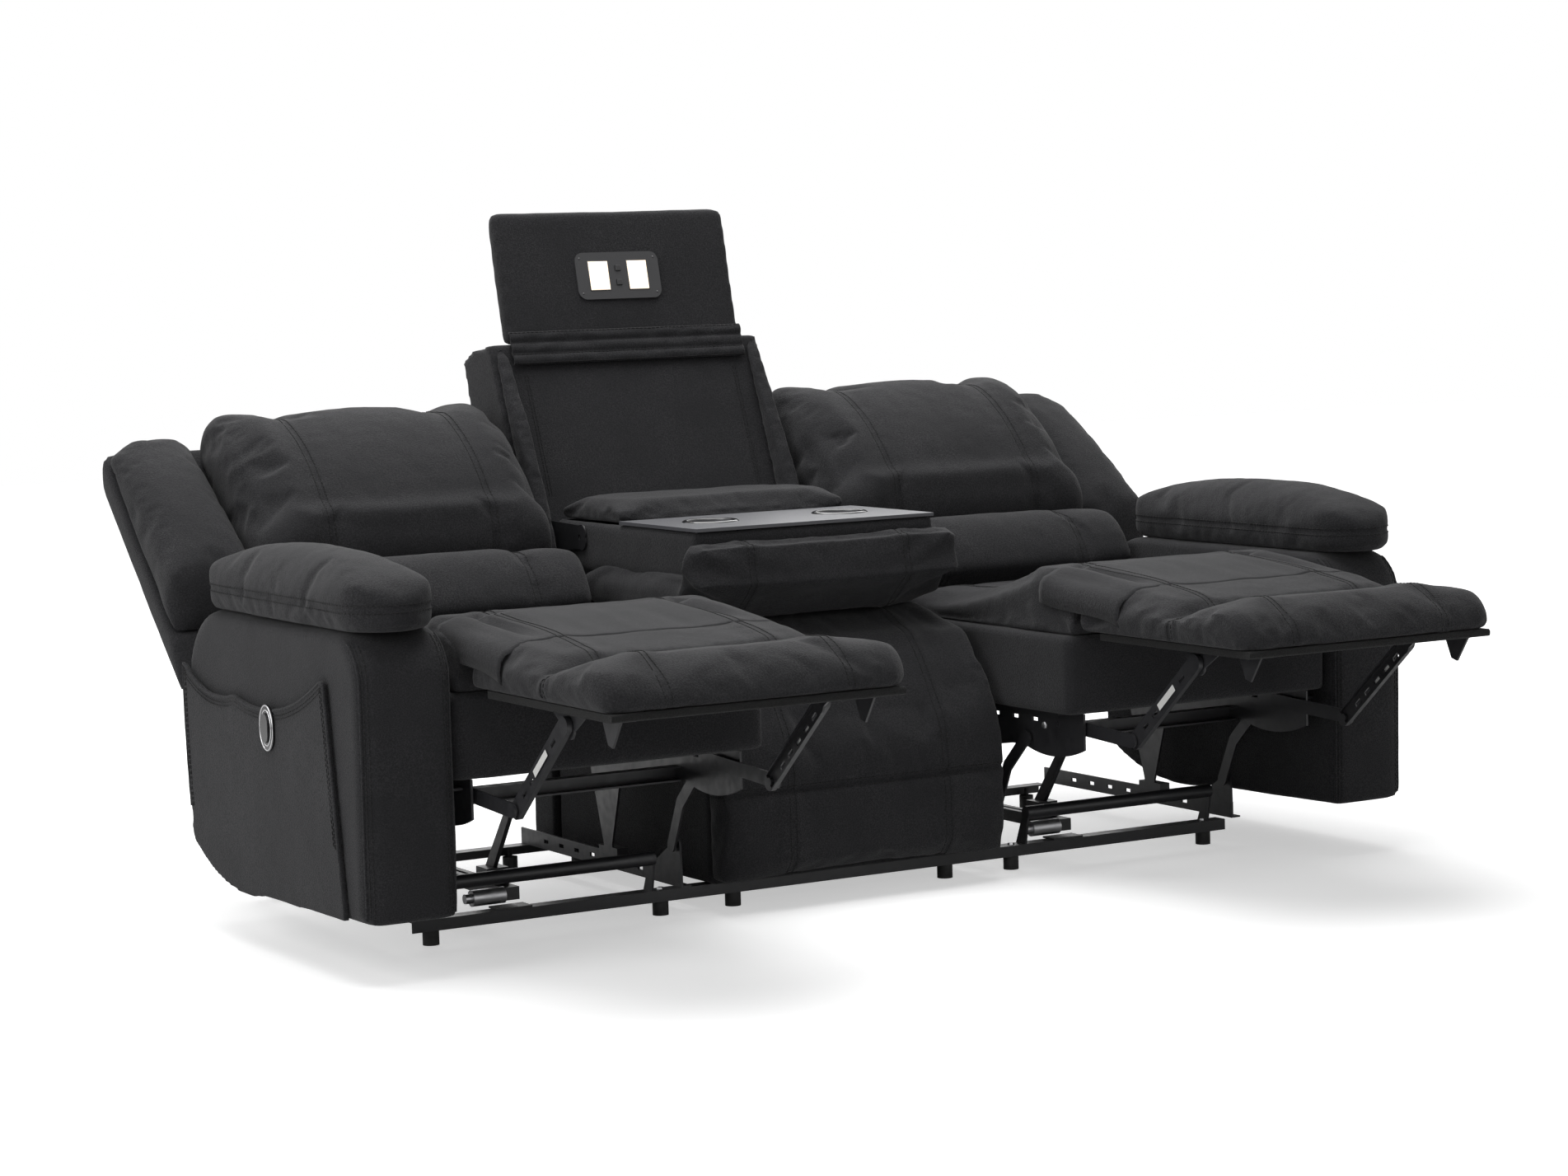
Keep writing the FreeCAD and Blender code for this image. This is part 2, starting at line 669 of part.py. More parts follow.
def footrest_brackets(side):
    """Folded brackets under the footrest board that hold the upper links, and the front spring ears."""
    made = []
    y, z = UPPER_PIVOT
    for x, inward in mechanism_layers():
        x0, x1 = layer(x, inward, *BRACKET_LAYER)
        web = slab(
            [
                (y - 64, BOARD_BOTTOM, 0),
                (y - CHANNEL_R, z - 8, 14),
                (y + CHANNEL_R, z - 8, 0),
                (y + 64, BOARD_BOTTOM, 0),
            ],
            x0,
            x1,
        )
        ear = slab(
            [
                (BOARD_FRONT + 22, BOARD_BOTTOM, 0),
                (BOARD_FRONT + 52, BOARD_BOTTOM - 44, 0),
                (BOARD_FRONT + 66, BOARD_BOTTOM - 40, 0),
                (BOARD_FRONT + 84, BOARD_BOTTOM, 0),
            ],
            x0,
            x1,
        )
        flange_x = layer(x, inward, BRACKET_LAYER[1] - PLATE, BRACKET_LAYER[1] + 22)
        flange = block(*flange_x, BOARD_FRONT + 22, y + 64, BOARD_BOTTOM - RAIL_WALL, BOARD_BOTTOM)
        bracket = web.fuse(ear).fuse(flange).removeSplitter()
        made.append(bracket.cut(pin(UPPER_PIVOT, PIN_R + PIN_GAP, x0, x1)))
    brackets = Part.makeCompound(made)
    return brackets if side > 0 else mirrored(brackets)


def footrest_board(side):
    """Board under the whole footrest pad."""
    x0 = PAD_INNER + BOARD_INSET
    x1 = PAD_OUTER - BOARD_INSET
    board = block(x0, x1, BOARD_FRONT, BOARD_REAR, BOARD_BOTTOM, BOARD_BOTTOM + BOARD_THICK)
    front_edges = [e for e in board.Edges if abs(e.BoundBox.YMin - BOARD_FRONT) < 0.01]
    long_edges = [e for e in front_edges if e.BoundBox.XLength > 1]
    board = board.makeFillet(BOARD_THICK * 0.4, long_edges)
    return board if side > 0 else mirrored(board)


def footrest_pad(side):
    """Chaise pad: rounded about its turning line at the back, sewn across where the front roll starts."""
    py, pz = FOOTREST_PIVOT
    drop = pz - PAD_BOTTOM
    toe = math.sqrt(FOLD_R**2 - drop**2)
    corners = [
        (py + toe, PAD_BOTTOM, FOLD_R - math.sqrt(FOLD_R**2 - (math.hypot(toe, FOLD_R + drop) / 2) ** 2)),
        (py, pz + FOLD_R, 7),
        (PAD_FOLD_Y, PAD_FOLD_Z, 6),
        (PAD_ROLL_Y, PAD_ROLL_TOP, 26),
        (PAD_FRONT_Y, PAD_BOTTOM + 16, 6),
        (PAD_FRONT_Y + 14, PAD_BOTTOM, 0),
    ]
    middle = (PAD_INNER + PAD_OUTER) / 2
    stations = across(PAD_INNER, PAD_OUTER, (middle - SEAM_HALF, middle + SEAM_HALF), end=0.95, dip=0.985)
    pad = padded(corners, (py, PAD_BOTTOM), stations)
    return pad if side > 0 else mirrored(pad)


# Seats and arms of the end units


def seat_box(side):
    """Upholstered box under the seat, rounded at its front corners."""
    box = block(SEAT_INNER, SEAT_OUTER, SEAT_FRONT, SEAT_BOX_REAR, SEAT_BOX_BOTTOM, SEAT_BOX_TOP)
    rounded = [
        e
        for e in box.Edges
        if abs(e.BoundBox.YMax - SEAT_FRONT) < 0.01
        and (e.BoundBox.ZLength > 1 or e.BoundBox.ZMax < SEAT_BOX_TOP - 1)
    ]
    box = box.makeFillet(SEAT_BOX_ROUND, rounded)
    return box if side > 0 else mirrored(box)


def seat_cushion(side):
    """Seat pad, highest behind its front edge and falling to the lumbar roll, sewn in three panels."""
    bottom = SEAT_BOX_TOP + SOFT_GAP
    corners = [
        (SEAT_REAR, bottom, 0),
        (SEAT_REAR, SEAT_REAR_TOP - 4, 0),
        (SEAT_LEVEL_Y, SEAT_REAR_TOP, -10),
        (SEAT_CROWN_Y, SEAT_CROWN, 12),
        (SEAT_FRONT, SEAT_CROWN - 34, 0),
        (SEAT_FRONT, bottom, 0),
    ]
    seams = (SEAT_CENTRE - SEAM_HALF, SEAT_CENTRE + SEAM_HALF)
    stations = across(SEAT_INNER + 3, SEAT_OUTER - 3, seams, end=0.94)
    pad = padded(corners, (SEAT_FRONT, bottom), stations)
    return pad if side > 0 else mirrored(pad)


def arm_outline():
    return [
        (ARM_FRONT_FALL, ARM_BOTTOM, 0),
        (410, ARM_BOTTOM - 8, 26),
        (ARM_REAR - 40, ARM_BOTTOM + 40, 12),
        (ARM_REAR - 14, ARM_BOTTOM + 90, 6),
        (ARM_REAR, 458, 10),
        (ARM_REAR - 70, ARM_TOP - 16, 4),
        (ARM_REAR - 130, ARM_TOP, 0),
        (70, ARM_TOP, 16),
        (0, ARM_TOP - 66, 0),
    ]


def arm_body(side):
    """Boxed arm with a full front face and rounded edges."""
    outer = ARM_OUTER - ARM_SIDE_PANEL
    stations = [(ARM_INNER, 0.98), (ARM_INNER + ARM_ROUND / 2, 1.0)]
    stations += [(outer - ARM_ROUND, 1.0), (outer, 0.97)]
    body = padded(arm_outline(), (ARM_REAR / 2, (ARM_BOTTOM + ARM_TOP) / 2), stations)
    return body if side > 0 else mirrored(body)


def arm_side_panel(side):
    """Upholstered panel on the arm's outer face, its top edge dipping in a long curve."""
    corners = [
        (66, ARM_BOTTOM + 4, 0),
        (410, ARM_BOTTOM - 4, 25),
        (ARM_REAR - 46, ARM_BOTTOM + 44, 12),
        (ARM_REAR - 22, ARM_BOTTOM + 90, 6),
        (ARM_REAR - 6, 456, -22),
        (504, 420, -34),
        (132, 474, 0),
        (118, 474, 0),
    ]
    x0 = ARM_OUTER - ARM_SIDE_PANEL
    panel = slab(corners, x0, ARM_OUTER)
    panel = panel.cut(oval_slab(BUTTON_HALF_Y + 2, BUTTON_HALF_Z + 2, x0, ARM_OUTER))
    return panel if side > 0 else mirrored(panel)


def oval_slab(half_y, half_z, x0, x1):
    """An upright oval plate centred on the switch."""
    straight = half_z - half_y
    y = BEZEL_Y
    z = BEZEL_Z
    corners = [
        (y + half_y, z - straight, 0),
        (y + half_y, z + straight, half_y * 0.98),
        (y - half_y, z + straight, 0),
        (y - half_y, z - straight, half_y * 0.98),
    ]
    return slab(corners, x0, x1)


def switch_bezel(side):
    """Oval ring around the recline switch."""
    ring = oval_slab(BEZEL_HALF_Y, BEZEL_HALF_Z, ARM_OUTER, ARM_OUTER + BEZEL_THICK)
    hole = oval_slab(BUTTON_HALF_Y + 1, BUTTON_HALF_Z + 1, ARM_OUTER, ARM_OUTER + BEZEL_THICK)
    ring = ring.cut(hole)
    return ring if side > 0 else mirrored(ring)


def switch_button(side):
    """Oval push button in the ring."""
    x1 = ARM_OUTER + BEZEL_THICK + BUTTON_PROUD
    button = oval_slab(BUTTON_HALF_Y, BUTTON_HALF_Z, x1 - BUTTON_DEPTH, x1)
    return button if side > 0 else mirrored(button)


def arm_pad(side):
    """Long bolster on top of the arm: its cross-section cut to its rounded side view and plan."""
    bottom = ARM_TOP + SOFT_GAP
    x0 = ARM_INNER - ARM_PAD_OVERHANG
    x1 = ARM_OUTER + ARM_PAD_OVERHANG
    middle = (x0 + x1) / 2
    shoulder = bottom + (ARM_PAD_TOP - bottom) * 0.52
    section = [
        (x0 + 14, bottom, 0),
        (x1 - 14, bottom, 13),
        (x1 - 4, shoulder, 14),
        (middle, ARM_PAD_TOP, 14),
        (x0 + 4, shoulder, 13),
    ]
    front = ARM_PAD_FRONT
    rear = ARM_PAD_REAR
    side_view = [
        (front + 10, bottom, 0),
        (rear - 10, bottom, 14),
        (rear - 50, ARM_PAD_TOP - 30, 8),
        (front + 260, ARM_PAD_TOP, 10),
        (front + 44, ARM_PAD_TOP - 36, 20),
    ]
    plan = [
        (x0 + 10, front + 70, 14),
        (middle, front, 14),
        (x1 - 10, front + 70, 5),
        (x1 - 10, rear - 60, 12),
        (middle, rear, 12),
        (x0 + 10, rear - 60, 5),
    ]
    pad = slab(section, front, rear, plane="xz").common(slab(side_view, x0 - 1, x1 + 1))
    pad = pad.common(slab(plan, bottom - 1, ARM_PAD_TOP + 1, plane="xy"))
    return pad if side > 0 else mirrored(pad)


# Reclining backs, drawn upright with the shell's rear face on y = 0 and its foot at z = 0


def arm_path(shape):
    """Cuts away what the arm would meet as the back comes upright, seen with the back still."""
    gap = ARM_BACK_GAP
    arm_rear = ARM_REAR + gap
    low = turned((arm_rear, ARM_BOTTOM), BACK_PIVOT, -RECLINE_ANGLE)
    high = turned((arm_rear, ARM_TOP + gap), BACK_PIVOT, -RECLINE_ANGLE)
    pad_rear = turned((ARM_PAD_REAR + gap, ARM_PAD_TOP + gap), BACK_PIVOT, -RECLINE_ANGLE)
    corners = [
        (low[0] - 300, low[1], 0),
        (low[0], low[1], 0),
        (high[0], high[1], 0),
        (pad_rear[0] + gap, pad_rear[1], 0),
        (ARM_PAD_REAR - 200, ARM_PAD_TOP + 60, 0),
    ]
    return shape.cut(slab(corners, ARM_INNER - 3, ARM_OUTER + 20))


def back_shell(side):
    """Padded outer shell of a reclining back."""
    corners = [
        (-SHELL_THICK, 0, 0),
        (0, 0, 0),
        (6, SHELL_LENGTH * 0.9, 12),
        (-SHELL_THICK, SHELL_LENGTH, 0),
    ]
    stations = across(SEAT_INNER, ARM_OUTER - 4, (), end=0.97)
    shell = padded(corners, (-SHELL_THICK, 0), stations)
    shell = arm_path(leant(shell, SHELL_FOOT, BACK_LEAN))
    return shell if side > 0 else mirrored(shell)


def back_wing(side):
    """Side bolster of a reclining back, outside the pillow."""
    back = -SHELL_THICK - SOFT_GAP
    corners = [
        (-WING_FRONT_LOW, WING_FOOT, -10),
        (back, 4, 0),
        (back, SHELL_LENGTH + 8, 14),
        (-WING_FRONT_HIGH, SHELL_LENGTH - 20, 12),
    ]
    stations = [(ARM_INNER, 0.9), (ARM_INNER + 30, 1.0), (ARM_OUTER - 60, 1.0), (ARM_OUTER - 4, 0.86)]
    wing = arm_path(leant(padded(corners, (back, SHELL_LENGTH / 2), stations), SHELL_FOOT, BACK_LEAN))
    return wing if side > 0 else mirrored(wing)


def back_pillow(side):
    """Head and shoulder pillow, sewn in three panels, thickest below its top."""
    back = -SHELL_THICK - SOFT_GAP
    corners = [
        (-150, PILLOW_SEAM + 4, 0),
        (back, PILLOW_SEAM + 4, 0),
        (back, PILLOW_TOP - 26, 20),
        (-130, PILLOW_TOP, 34),
        (-PILLOW_FRONT, PILLOW_SEAM + 120, 26),
    ]
    stations = across(SEAT_INNER, SEAT_OUTER, (SEAT_CENTRE - SEAM_HALF, SEAT_CENTRE + SEAM_HALF), end=0.9)
    pillow = leant(padded(corners, (back, PILLOW_SEAM + 170), stations), SHELL_FOOT, BACK_LEAN)
    return pillow if side > 0 else mirrored(pillow)


def lumbar_roll(side):
    """Roll below the pillow, its underside level with the seat when the back is upright."""
    back = -SHELL_THICK - SOFT_GAP
    foot_rise = (LUMBAR_FRONT - 76.0) * math.tan(math.radians(BACK_LEAN_CLOSED))
    corners = [
        (-LUMBAR_FRONT + 14, LUMBAR_FOOT, 0),
        (-76, LUMBAR_FOOT + foot_rise, 0),
        (back, LUMBAR_FOOT + foot_rise + 22, 0),
        (back, PILLOW_SEAM, 0),
        (-150, PILLOW_SEAM, 12),
        (-LUMBAR_FRONT + 4, PILLOW_SEAM - 44, 14),
    ]
    stations = across(SEAT_INNER, SEAT_OUTER, (SEAT_CENTRE - SEAM_HALF, SEAT_CENTRE + SEAM_HALF), end=0.93)
    heart = (back, (LUMBAR_FOOT + PILLOW_SEAM) / 2 + 30)
    roll = leant(padded(corners, heart, stations), SHELL_FOOT, BACK_LEAN)
    return roll if side > 0 else mirrored(roll)


def back_brackets(side):
    """Steel arms from the back pivots to the shell's foot."""
    made = []
    for x, inward in mechanism_layers():
        x0, x1 = layer(x, inward, SIDE_LAYER[1] + 2, SIDE_LAYER[1] + 2 + PLATE)
        flange_x = layer(x, inward, SIDE_LAYER[1] + 2, SIDE_LAYER[1] + 34)
        flange = leant(block(*flange_x, 4 - SHELL_THICK, -4, -PLATE, 0), SHELL_FOOT, BACK_LEAN)
        upright = (SHELL_FOOT[0] - SHELL_THICK / 2, SHELL_FOOT[1] - BACK_BRACKET_R)
        grip = turned(upright, SHELL_FOOT, -BACK_LEAN)
        bar = round_bar(BACK_PIVOT, grip, BACK_BRACKET_R, x0, x1)
        bracket = bar.fuse(flange)
        pin_x = layer(x, inward, SIDE_LAYER[0] - 2, SIDE_LAYER[1] + 2)
        made.append(bracket.fuse(pin(BACK_PIVOT, PIN_R, *pin_x)).removeSplitter())
    brackets = Part.makeCompound(made)
    return brackets if side > 0 else mirrored(brackets)


# Middle seat and back


def recess_y(z):
    """The recess panel's plane at a height."""
    return RECESS_FOOT[0] + (z - RECESS_FOOT[1]) * math.tan(math.radians(RECESS_LEAN))


def mid_seat_box():
    """Box that carries the middle seat, from the rails up."""
    return block(-MID_BOX_HALF, MID_BOX_HALF, MID_BOX_FRONT, MID_BOX_REAR, RAIL_TOP, MID_BOX_TOP)


def mid_seat_cushion():
    """Seat pad that runs over the front edge and down to the skirt, sewn in three panels and across."""
    top = MID_BOX_TOP + SOFT_GAP
    face = MID_BOX_FRONT - SOFT_GAP
    corners = [
        (face, MID_SKIRT_Z, 0),
        (face, top, 0),
        (MID_BOX_REAR - 4, top, 0),
        (MID_BOX_REAR - 4, MID_SEAT_TOP - 8, 2),
        (520, MID_SEAT_TOP, 4),
        (300, MID_SEAT_TOP - 28, 30),
        (MID_FRONT_Y, MID_SEAM_Z, 8),
        (MID_FRONT_Y + 14, MID_SKIRT_Z, 0),
    ]
    stations = across(-MIDDLE_HALF, MIDDLE_HALF, (-SEAM_HALF, SEAM_HALF), end=0.985, dip=0.99)
    return padded(corners, (face, top), stations)


def mid_back_shell():
    """Back of the middle seat; its front is the panel of the recess."""
    fall = math.tan(math.radians(HEAD_LEAN))
    slope = math.tan(math.radians(RECESS_LEAN))
    ledge = HEAD_PIVOT[1] - SOFT_GAP
    top_z = (ledge + (HEAD_PIVOT[0] - RECESS_FOOT[0] + RECESS_FOOT[1] * slope) * fall) / (1 + slope * fall)
    rest_y = HEAD_PIVOT[0] + HEAD_THICK
    rest_z = ledge - (rest_y - HEAD_PIVOT[0]) * fall
    bend_z = 445.0
    corners = [
        (MID_BOX_REAR, MID_BACK_FOOT, 0),
        (MID_BACK_REAR_FOOT, MID_BACK_FOOT, 0),
        (MID_BACK_REAR_FOOT + 20, 330, 10),
        (MID_BACK_REAR_TOP[0], MID_BACK_REAR_TOP[1], 6),
        (rest_y + 30, rest_z - 4, 0),
        (rest_y, rest_z, 0),
        (recess_y(top_z), top_z, 0),
        (recess_y(bend_z), bend_z, 0),
        (MID_BOX_REAR, bend_z - 20, 0),
    ]
    return slab(corners, -MIDDLE_HALF + 2, MIDDLE_HALF - 2)


def mid_back_wings():
    """Upright bolsters either side of the recess."""
    low_z = MID_WING_LOW[1]
    top_z = MID_WING_TOP[1]
    foot_z = 500.0
    corners = [
        (recess_y(foot_z) - 30, foot_z, 0),
        (recess_y(foot_z) - SOFT_GAP, foot_z, 0),
        (recess_y(top_z) - SOFT_GAP, top_z, 4),
        (MID_WING_TOP[0], top_z - 6, 8),
        (MID_WING_LOW[0], low_z, 6),
    ]
    heart = (recess_y(700.0) - SOFT_GAP, 700.0)
    stations = [(MID_WING_INNER, 0.93), (MID_WING_INNER + 12, 1.0)]
    stations += [(MIDDLE_HALF - 10, 1.0), (MIDDLE_HALF, 0.95)]
    wing = padded(corners, heart, stations)
    return Part.makeCompound([wing, mirrored(wing)])


def console_hinge_plates():
    """Steel plates from the recess panel forward to the console's pivots."""
    x0 = BOX_HALF + HINGE_PLATE_GAP
    y, z = CONSOLE_PIVOT
    low = 590.0
    high = 646.0
    plate = slab(
        [
            (y - HINGE_PLATE_R, z, HINGE_PLATE_R * 0.5),
            (y, z - HINGE_PLATE_R, 0),
            (recess_y(low), low, 0),
            (recess_y(high), high, 0),
            (y, z + HINGE_PLATE_R, HINGE_PLATE_R * 0.5),
        ],
        x0,
        x0 + HINGE_PLATE,
    )
    plate = plate.cut(pin(CONSOLE_PIVOT, PIN_R + PIN_GAP, x0, x0 + HINGE_PLATE))
    return Part.makeCompound([plate, mirrored(plate)])


# Console


def console_box():
    """Upholstered tray box with a well for the cup tray and a storage bin, and its pivot pins."""
    box = block(-BOX_HALF, BOX_HALF, BOX_FRONT, BOX_REAR, BOX_BOTTOM, BOX_TOP)
    corner = [e for e in box.Edges if e.BoundBox.ZLength > 1]
    box = box.makeFillet(10, corner)
    inner = BOX_HALF - BOX_WALL
    floor = BOX_BOTTOM + BOX_FLOOR
    well = block(-inner, inner, BOX_FRONT + BOX_WALL, TRAY_REAR - BOX_WALL, floor, BOX_TOP)
    bin_space = block(-inner, inner, TRAY_REAR, BOX_REAR - BOX_WALL, floor, BOX_TOP)
    box = box.cut(well).cut(bin_space)
    reach = BOX_HALF + HINGE_PLATE_GAP + HINGE_PLATE
    for side in (-1, 1):
        box = box.fuse(pin(CONSOLE_PIVOT, PIN_R, side * (BOX_HALF - 2), side * reach))
    return box.removeSplitter()


def console_tray():
    """Moulded tray on the box with two cup holders."""
    plate = block(-BOX_HALF, BOX_HALF, BOX_FRONT, TRAY_REAR, BOX_TOP, BOX_TOP + TRAY_THICK)
    for side in (-1, 1):
        x = side * CUP_HALF_SPACING
        top = BOX_TOP + TRAY_THICK
        wall = Part.makeCylinder(CUP_R + CUP_WALL, CUP_DEPTH, Vector(x, CUP_Y, top - CUP_DEPTH))
        plate = plate.fuse(wall)
    for side in (-1, 1):
        x = side * CUP_HALF_SPACING
        cup_floor = BOX_TOP + TRAY_THICK - CUP_DEPTH + CUP_WALL
        plate = plate.cut(
            Part.makeCylinder(CUP_R, CUP_DEPTH + 2, Vector(x, CUP_Y, cup_floor))
        )
    return plate.removeSplitter()


def console_cushion():
    """Cushion under the tray box that turns up into a roll at the front."""
    face = BOX_FRONT - SOFT_GAP
    ceiling = BOX_BOTTOM - SOFT_GAP
    corners = [
        (CONSOLE_PIVOT[0], ceiling, 0),
        (face, ceiling, 0),
        (face, ROLL_TOP - 14, -10),
        (CUSHION_FRONT + 26, ROLL_TOP - 14, -12),
        (CUSHION_FRONT + 8, 560, -16),
        (CUSHION_FRONT + 90, CUSHION_BOTTOM + 6, 0),
        (700, CUSHION_BOTTOM, 0),
        (CONSOLE_PIVOT[0], CUSHION_BOTTOM + 26, 0),
    ]
    stations = across(-CUSHION_HALF, CUSHION_HALF, (-SEAM_HALF, SEAM_HALF), end=0.9, dip=0.96)
    return padded(corners, (face, ceiling), stations)


def console_lid():
    """Padded lid of the storage bin, hinged at its rear edge."""
    bottom = BOX_TOP + SOFT_GAP
    corners = [
        (TRAY_REAR + 2, bottom, 0),
        (BOX_REAR, bottom, 5),
        (BOX_REAR - 4, LID_TOP - 10, 6),
        (TRAY_REAR + 8, LID_TOP - 10, 5),
    ]
    stations = across(-LID_HALF, LID_HALF, (), end=0.93, edge=20)
    return padded(corners, ((TRAY_REAR + BOX_REAR) / 2, bottom), stations)


# Head panel, drawn upright with its front face on y = 0 and its foot at z = 0


def head_panel():
    """Padded panel that folds down over the recess."""
    corners = [
        (0, 0, 0),
        (HEAD_THICK, 0, 3),
        (HEAD_THICK, HEAD_HEIGHT - 8, 8),
        (4, HEAD_HEIGHT, 0),
        (0, HEAD_HEIGHT - 8, 0),
    ]
    stations = [(-HEAD_HALF, 0.97), (-HEAD_HALF + 14, 1.0), (HEAD_HALF - 14, 1.0), (HEAD_HALF, 0.97)]
    return leant(padded(corners, (0, 0), stations), HEAD_PIVOT, HEAD_LEAN)


def light_plate():
    """Plate with rounded corners, two lamp windows and two switch slots."""
    x = PLATE_HALF_X
    low = PLATE_CENTRE_UP - PLATE_HALF_UP
    high = PLATE_CENTRE_UP + PLATE_HALF_UP
    plate = block(-x, x, -PLATE_PROUD, 0, low, high)
    corners = [e for e in plate.Edges if e.BoundBox.YLength > 1]
    plate = plate.makeFillet(PLATE_CORNER, corners)
    windows = []
    for side in (-1, 1):
        centre = side * LAMP_X
        windows.append(
            block(
                centre - LAMP_HALF_X - SOFT_GAP,
                centre + LAMP_HALF_X + SOFT_GAP,
                -PLATE_PROUD,
                0,
                PLATE_CENTRE_UP - LAMP_HALF_UP - SOFT_GAP,
                PLATE_CENTRE_UP + LAMP_HALF_UP + SOFT_GAP,
            )
        )
    half = SWITCH_HALF + SOFT_GAP
    windows += [block(-half, half, -PLATE_PROUD, 0, up - half, up + half) for up in SWITCH_UPS]
    return leant(plate.cut(Part.makeCompound(windows)), HEAD_PIVOT, HEAD_LEAN)


def lamp_lenses():
    """Two ribbed lamp windows."""
    made = []
    for side in (-1, 1):
        centre = side * LAMP_X
        lens = block(
            centre - LAMP_HALF_X,
            centre + LAMP_HALF_X,
            -PLATE_PROUD - LAMP_PROUD,
            0,
            PLATE_CENTRE_UP - LAMP_HALF_UP,
            PLATE_CENTRE_UP + LAMP_HALF_UP,
        )
        front = [e for e in lens.Edges if e.BoundBox.YMax < -PLATE_PROUD]
        made.append(lens.makeFillet(1.0, front))
    return leant(Part.makeCompound(made), HEAD_PIVOT, HEAD_LEAN)


def light_switch(up):
    """Small push switch between the lamps."""
    half = SWITCH_HALF
    switch = block(-half, half, -PLATE_PROUD - SWITCH_PROUD, -SWITCH_TRAVEL - 0.5, up - half, up + half)
    front = [e for e in switch.Edges if e.BoundBox.YMax < -PLATE_PROUD - SWITCH_PROUD + 0.01]
    return leant(switch.makeFillet(1.0, front), HEAD_PIVOT, HEAD_LEAN)


def build():
    """Every piece by its node name."""
    nodes = {
        "front_rail": front_rail(),
        "base_side_rails": base_side_rails(),
        "feet": feet(),
        "front_tubes": Part.makeCompound([front_tube(-1), front_tube(1)]),
        "motor_cans": Part.makeCompound([motor_can(x) for x in GEARBOX_XS]),
        "gearboxes": Part.makeCompound([gearbox(x) for x in GEARBOX_XS]),
        "mid_seat_box": mid_seat_box(),
        "mid_seat_cushion": mid_seat_cushion(),
        "mid_back_shell": mid_back_shell(),
        "mid_back_wings": mid_back_wings(),
        "console_hinge_plates": console_hinge_plates(),
        "console_box": console_box(),
        "console_tray": console_tray(),
        "console_cushion": console_cushion(),
        "console_lid": console_lid(),
        "head_panel": head_panel(),
        "light_plate": light_plate(),
        "lamp_lenses": lamp_lenses(),
        "light_switch_upper": light_switch(SWITCH_UPS[0]),
        "light_switch_lower": light_switch(SWITCH_UPS[1]),
    }
    for name, side, gear_x in (("left", -1, GEARBOX_XS[0]), ("right", 1, GEARBOX_XS[1])):
        makers = (
            seat_box,
            seat_cushion,
            arm_body,
            arm_side_panel,
            arm_pad,
            switch_bezel,
            switch_button,
            back_shell,
            back_wing,
            back_pillow,
            lumbar_roll,
            back_brackets,
            footrest_pad,
            footrest_board,
            footrest_brackets,
            swing_links,
            lower_links,
            upper_links,
        )
        nodes[f"{name}_seat_frame"] = seat_frame(gear_x, side)
        for maker in makers:
            nodes[f"{name}_{maker.__name__}"] = maker(side)
    return nodes


NODES = build()
OVERALL = Part.makeCompound(list(NODES.values())).BoundBox
ORIGIN_Y = (OVERALL.YMin + OVERALL.YMax) / 2

os.makedirs("parts", exist_ok=True)
for node, shape in NODES.items():
    shape.translate(Vector(0, -ORIGIN_Y, 0))
    shape.exportStep(f"parts/{node}.step")
print("nodes", len(NODES), "box", OVERALL.XLength, OVERALL.YLength, OVERALL.ZLength)
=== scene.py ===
import json
import math

import bmesh
import bpy
from mathutils import Matrix, Vector, noise
from mathutils.bvhtree import BVHTree


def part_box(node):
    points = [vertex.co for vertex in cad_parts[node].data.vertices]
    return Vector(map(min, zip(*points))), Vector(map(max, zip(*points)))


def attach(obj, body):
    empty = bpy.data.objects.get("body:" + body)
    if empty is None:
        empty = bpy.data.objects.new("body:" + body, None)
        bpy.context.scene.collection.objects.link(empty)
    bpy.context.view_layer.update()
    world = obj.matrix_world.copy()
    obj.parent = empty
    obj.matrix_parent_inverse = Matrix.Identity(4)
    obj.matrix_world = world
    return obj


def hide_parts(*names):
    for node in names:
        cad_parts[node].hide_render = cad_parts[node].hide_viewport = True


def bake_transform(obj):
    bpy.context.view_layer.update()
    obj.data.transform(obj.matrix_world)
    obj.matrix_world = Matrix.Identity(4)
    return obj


bl_info = {
    "name": "Reclining sofa dressing",
    "version": (1, 0, 0),
    "blender": (4, 5, 0),
    "location": "3D View > Sidebar > Sofa",
    "description": "Upholstery, stitching, steelwork and lights of a reclining sofa with a drop-down console",
    "category": "Object",
}

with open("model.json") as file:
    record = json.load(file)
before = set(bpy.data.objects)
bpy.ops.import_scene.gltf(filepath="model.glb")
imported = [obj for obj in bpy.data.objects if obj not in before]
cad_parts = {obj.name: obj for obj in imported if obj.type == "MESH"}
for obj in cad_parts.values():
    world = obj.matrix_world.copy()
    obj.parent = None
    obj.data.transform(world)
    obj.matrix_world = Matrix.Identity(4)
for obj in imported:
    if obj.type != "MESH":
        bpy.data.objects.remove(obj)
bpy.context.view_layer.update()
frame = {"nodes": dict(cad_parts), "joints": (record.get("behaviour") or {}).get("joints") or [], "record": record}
SIDES = ("left", "right")

# Sewn lines across the seats, backs and pads, measured from the middle of each
SEAM_OFFSET = 0.158
# Heights and depths that more than one piece needs
MID_CROSS_SEAM_HEIGHT = 0.209
FOOTREST_FOLD = 0.262
ARM_PAD_SEAM = 0.038
# Directions up and out of the recess and of the head panel, which both lean back
RECESS_UP = Vector((0, 0.363, 0.932))
RECESS_OUT = Vector((0, -0.932, 0.363))
PANEL_UP = Vector((0, 0.222, 0.975))
PANEL_OUT = Vector((0, -0.975, 0.222))
LAMP_PLACE = 0.042
LAMP_HALF_WIDTH = 0.021
SCREW_PLACE = 0.08
SCREW_INSET = 0.012
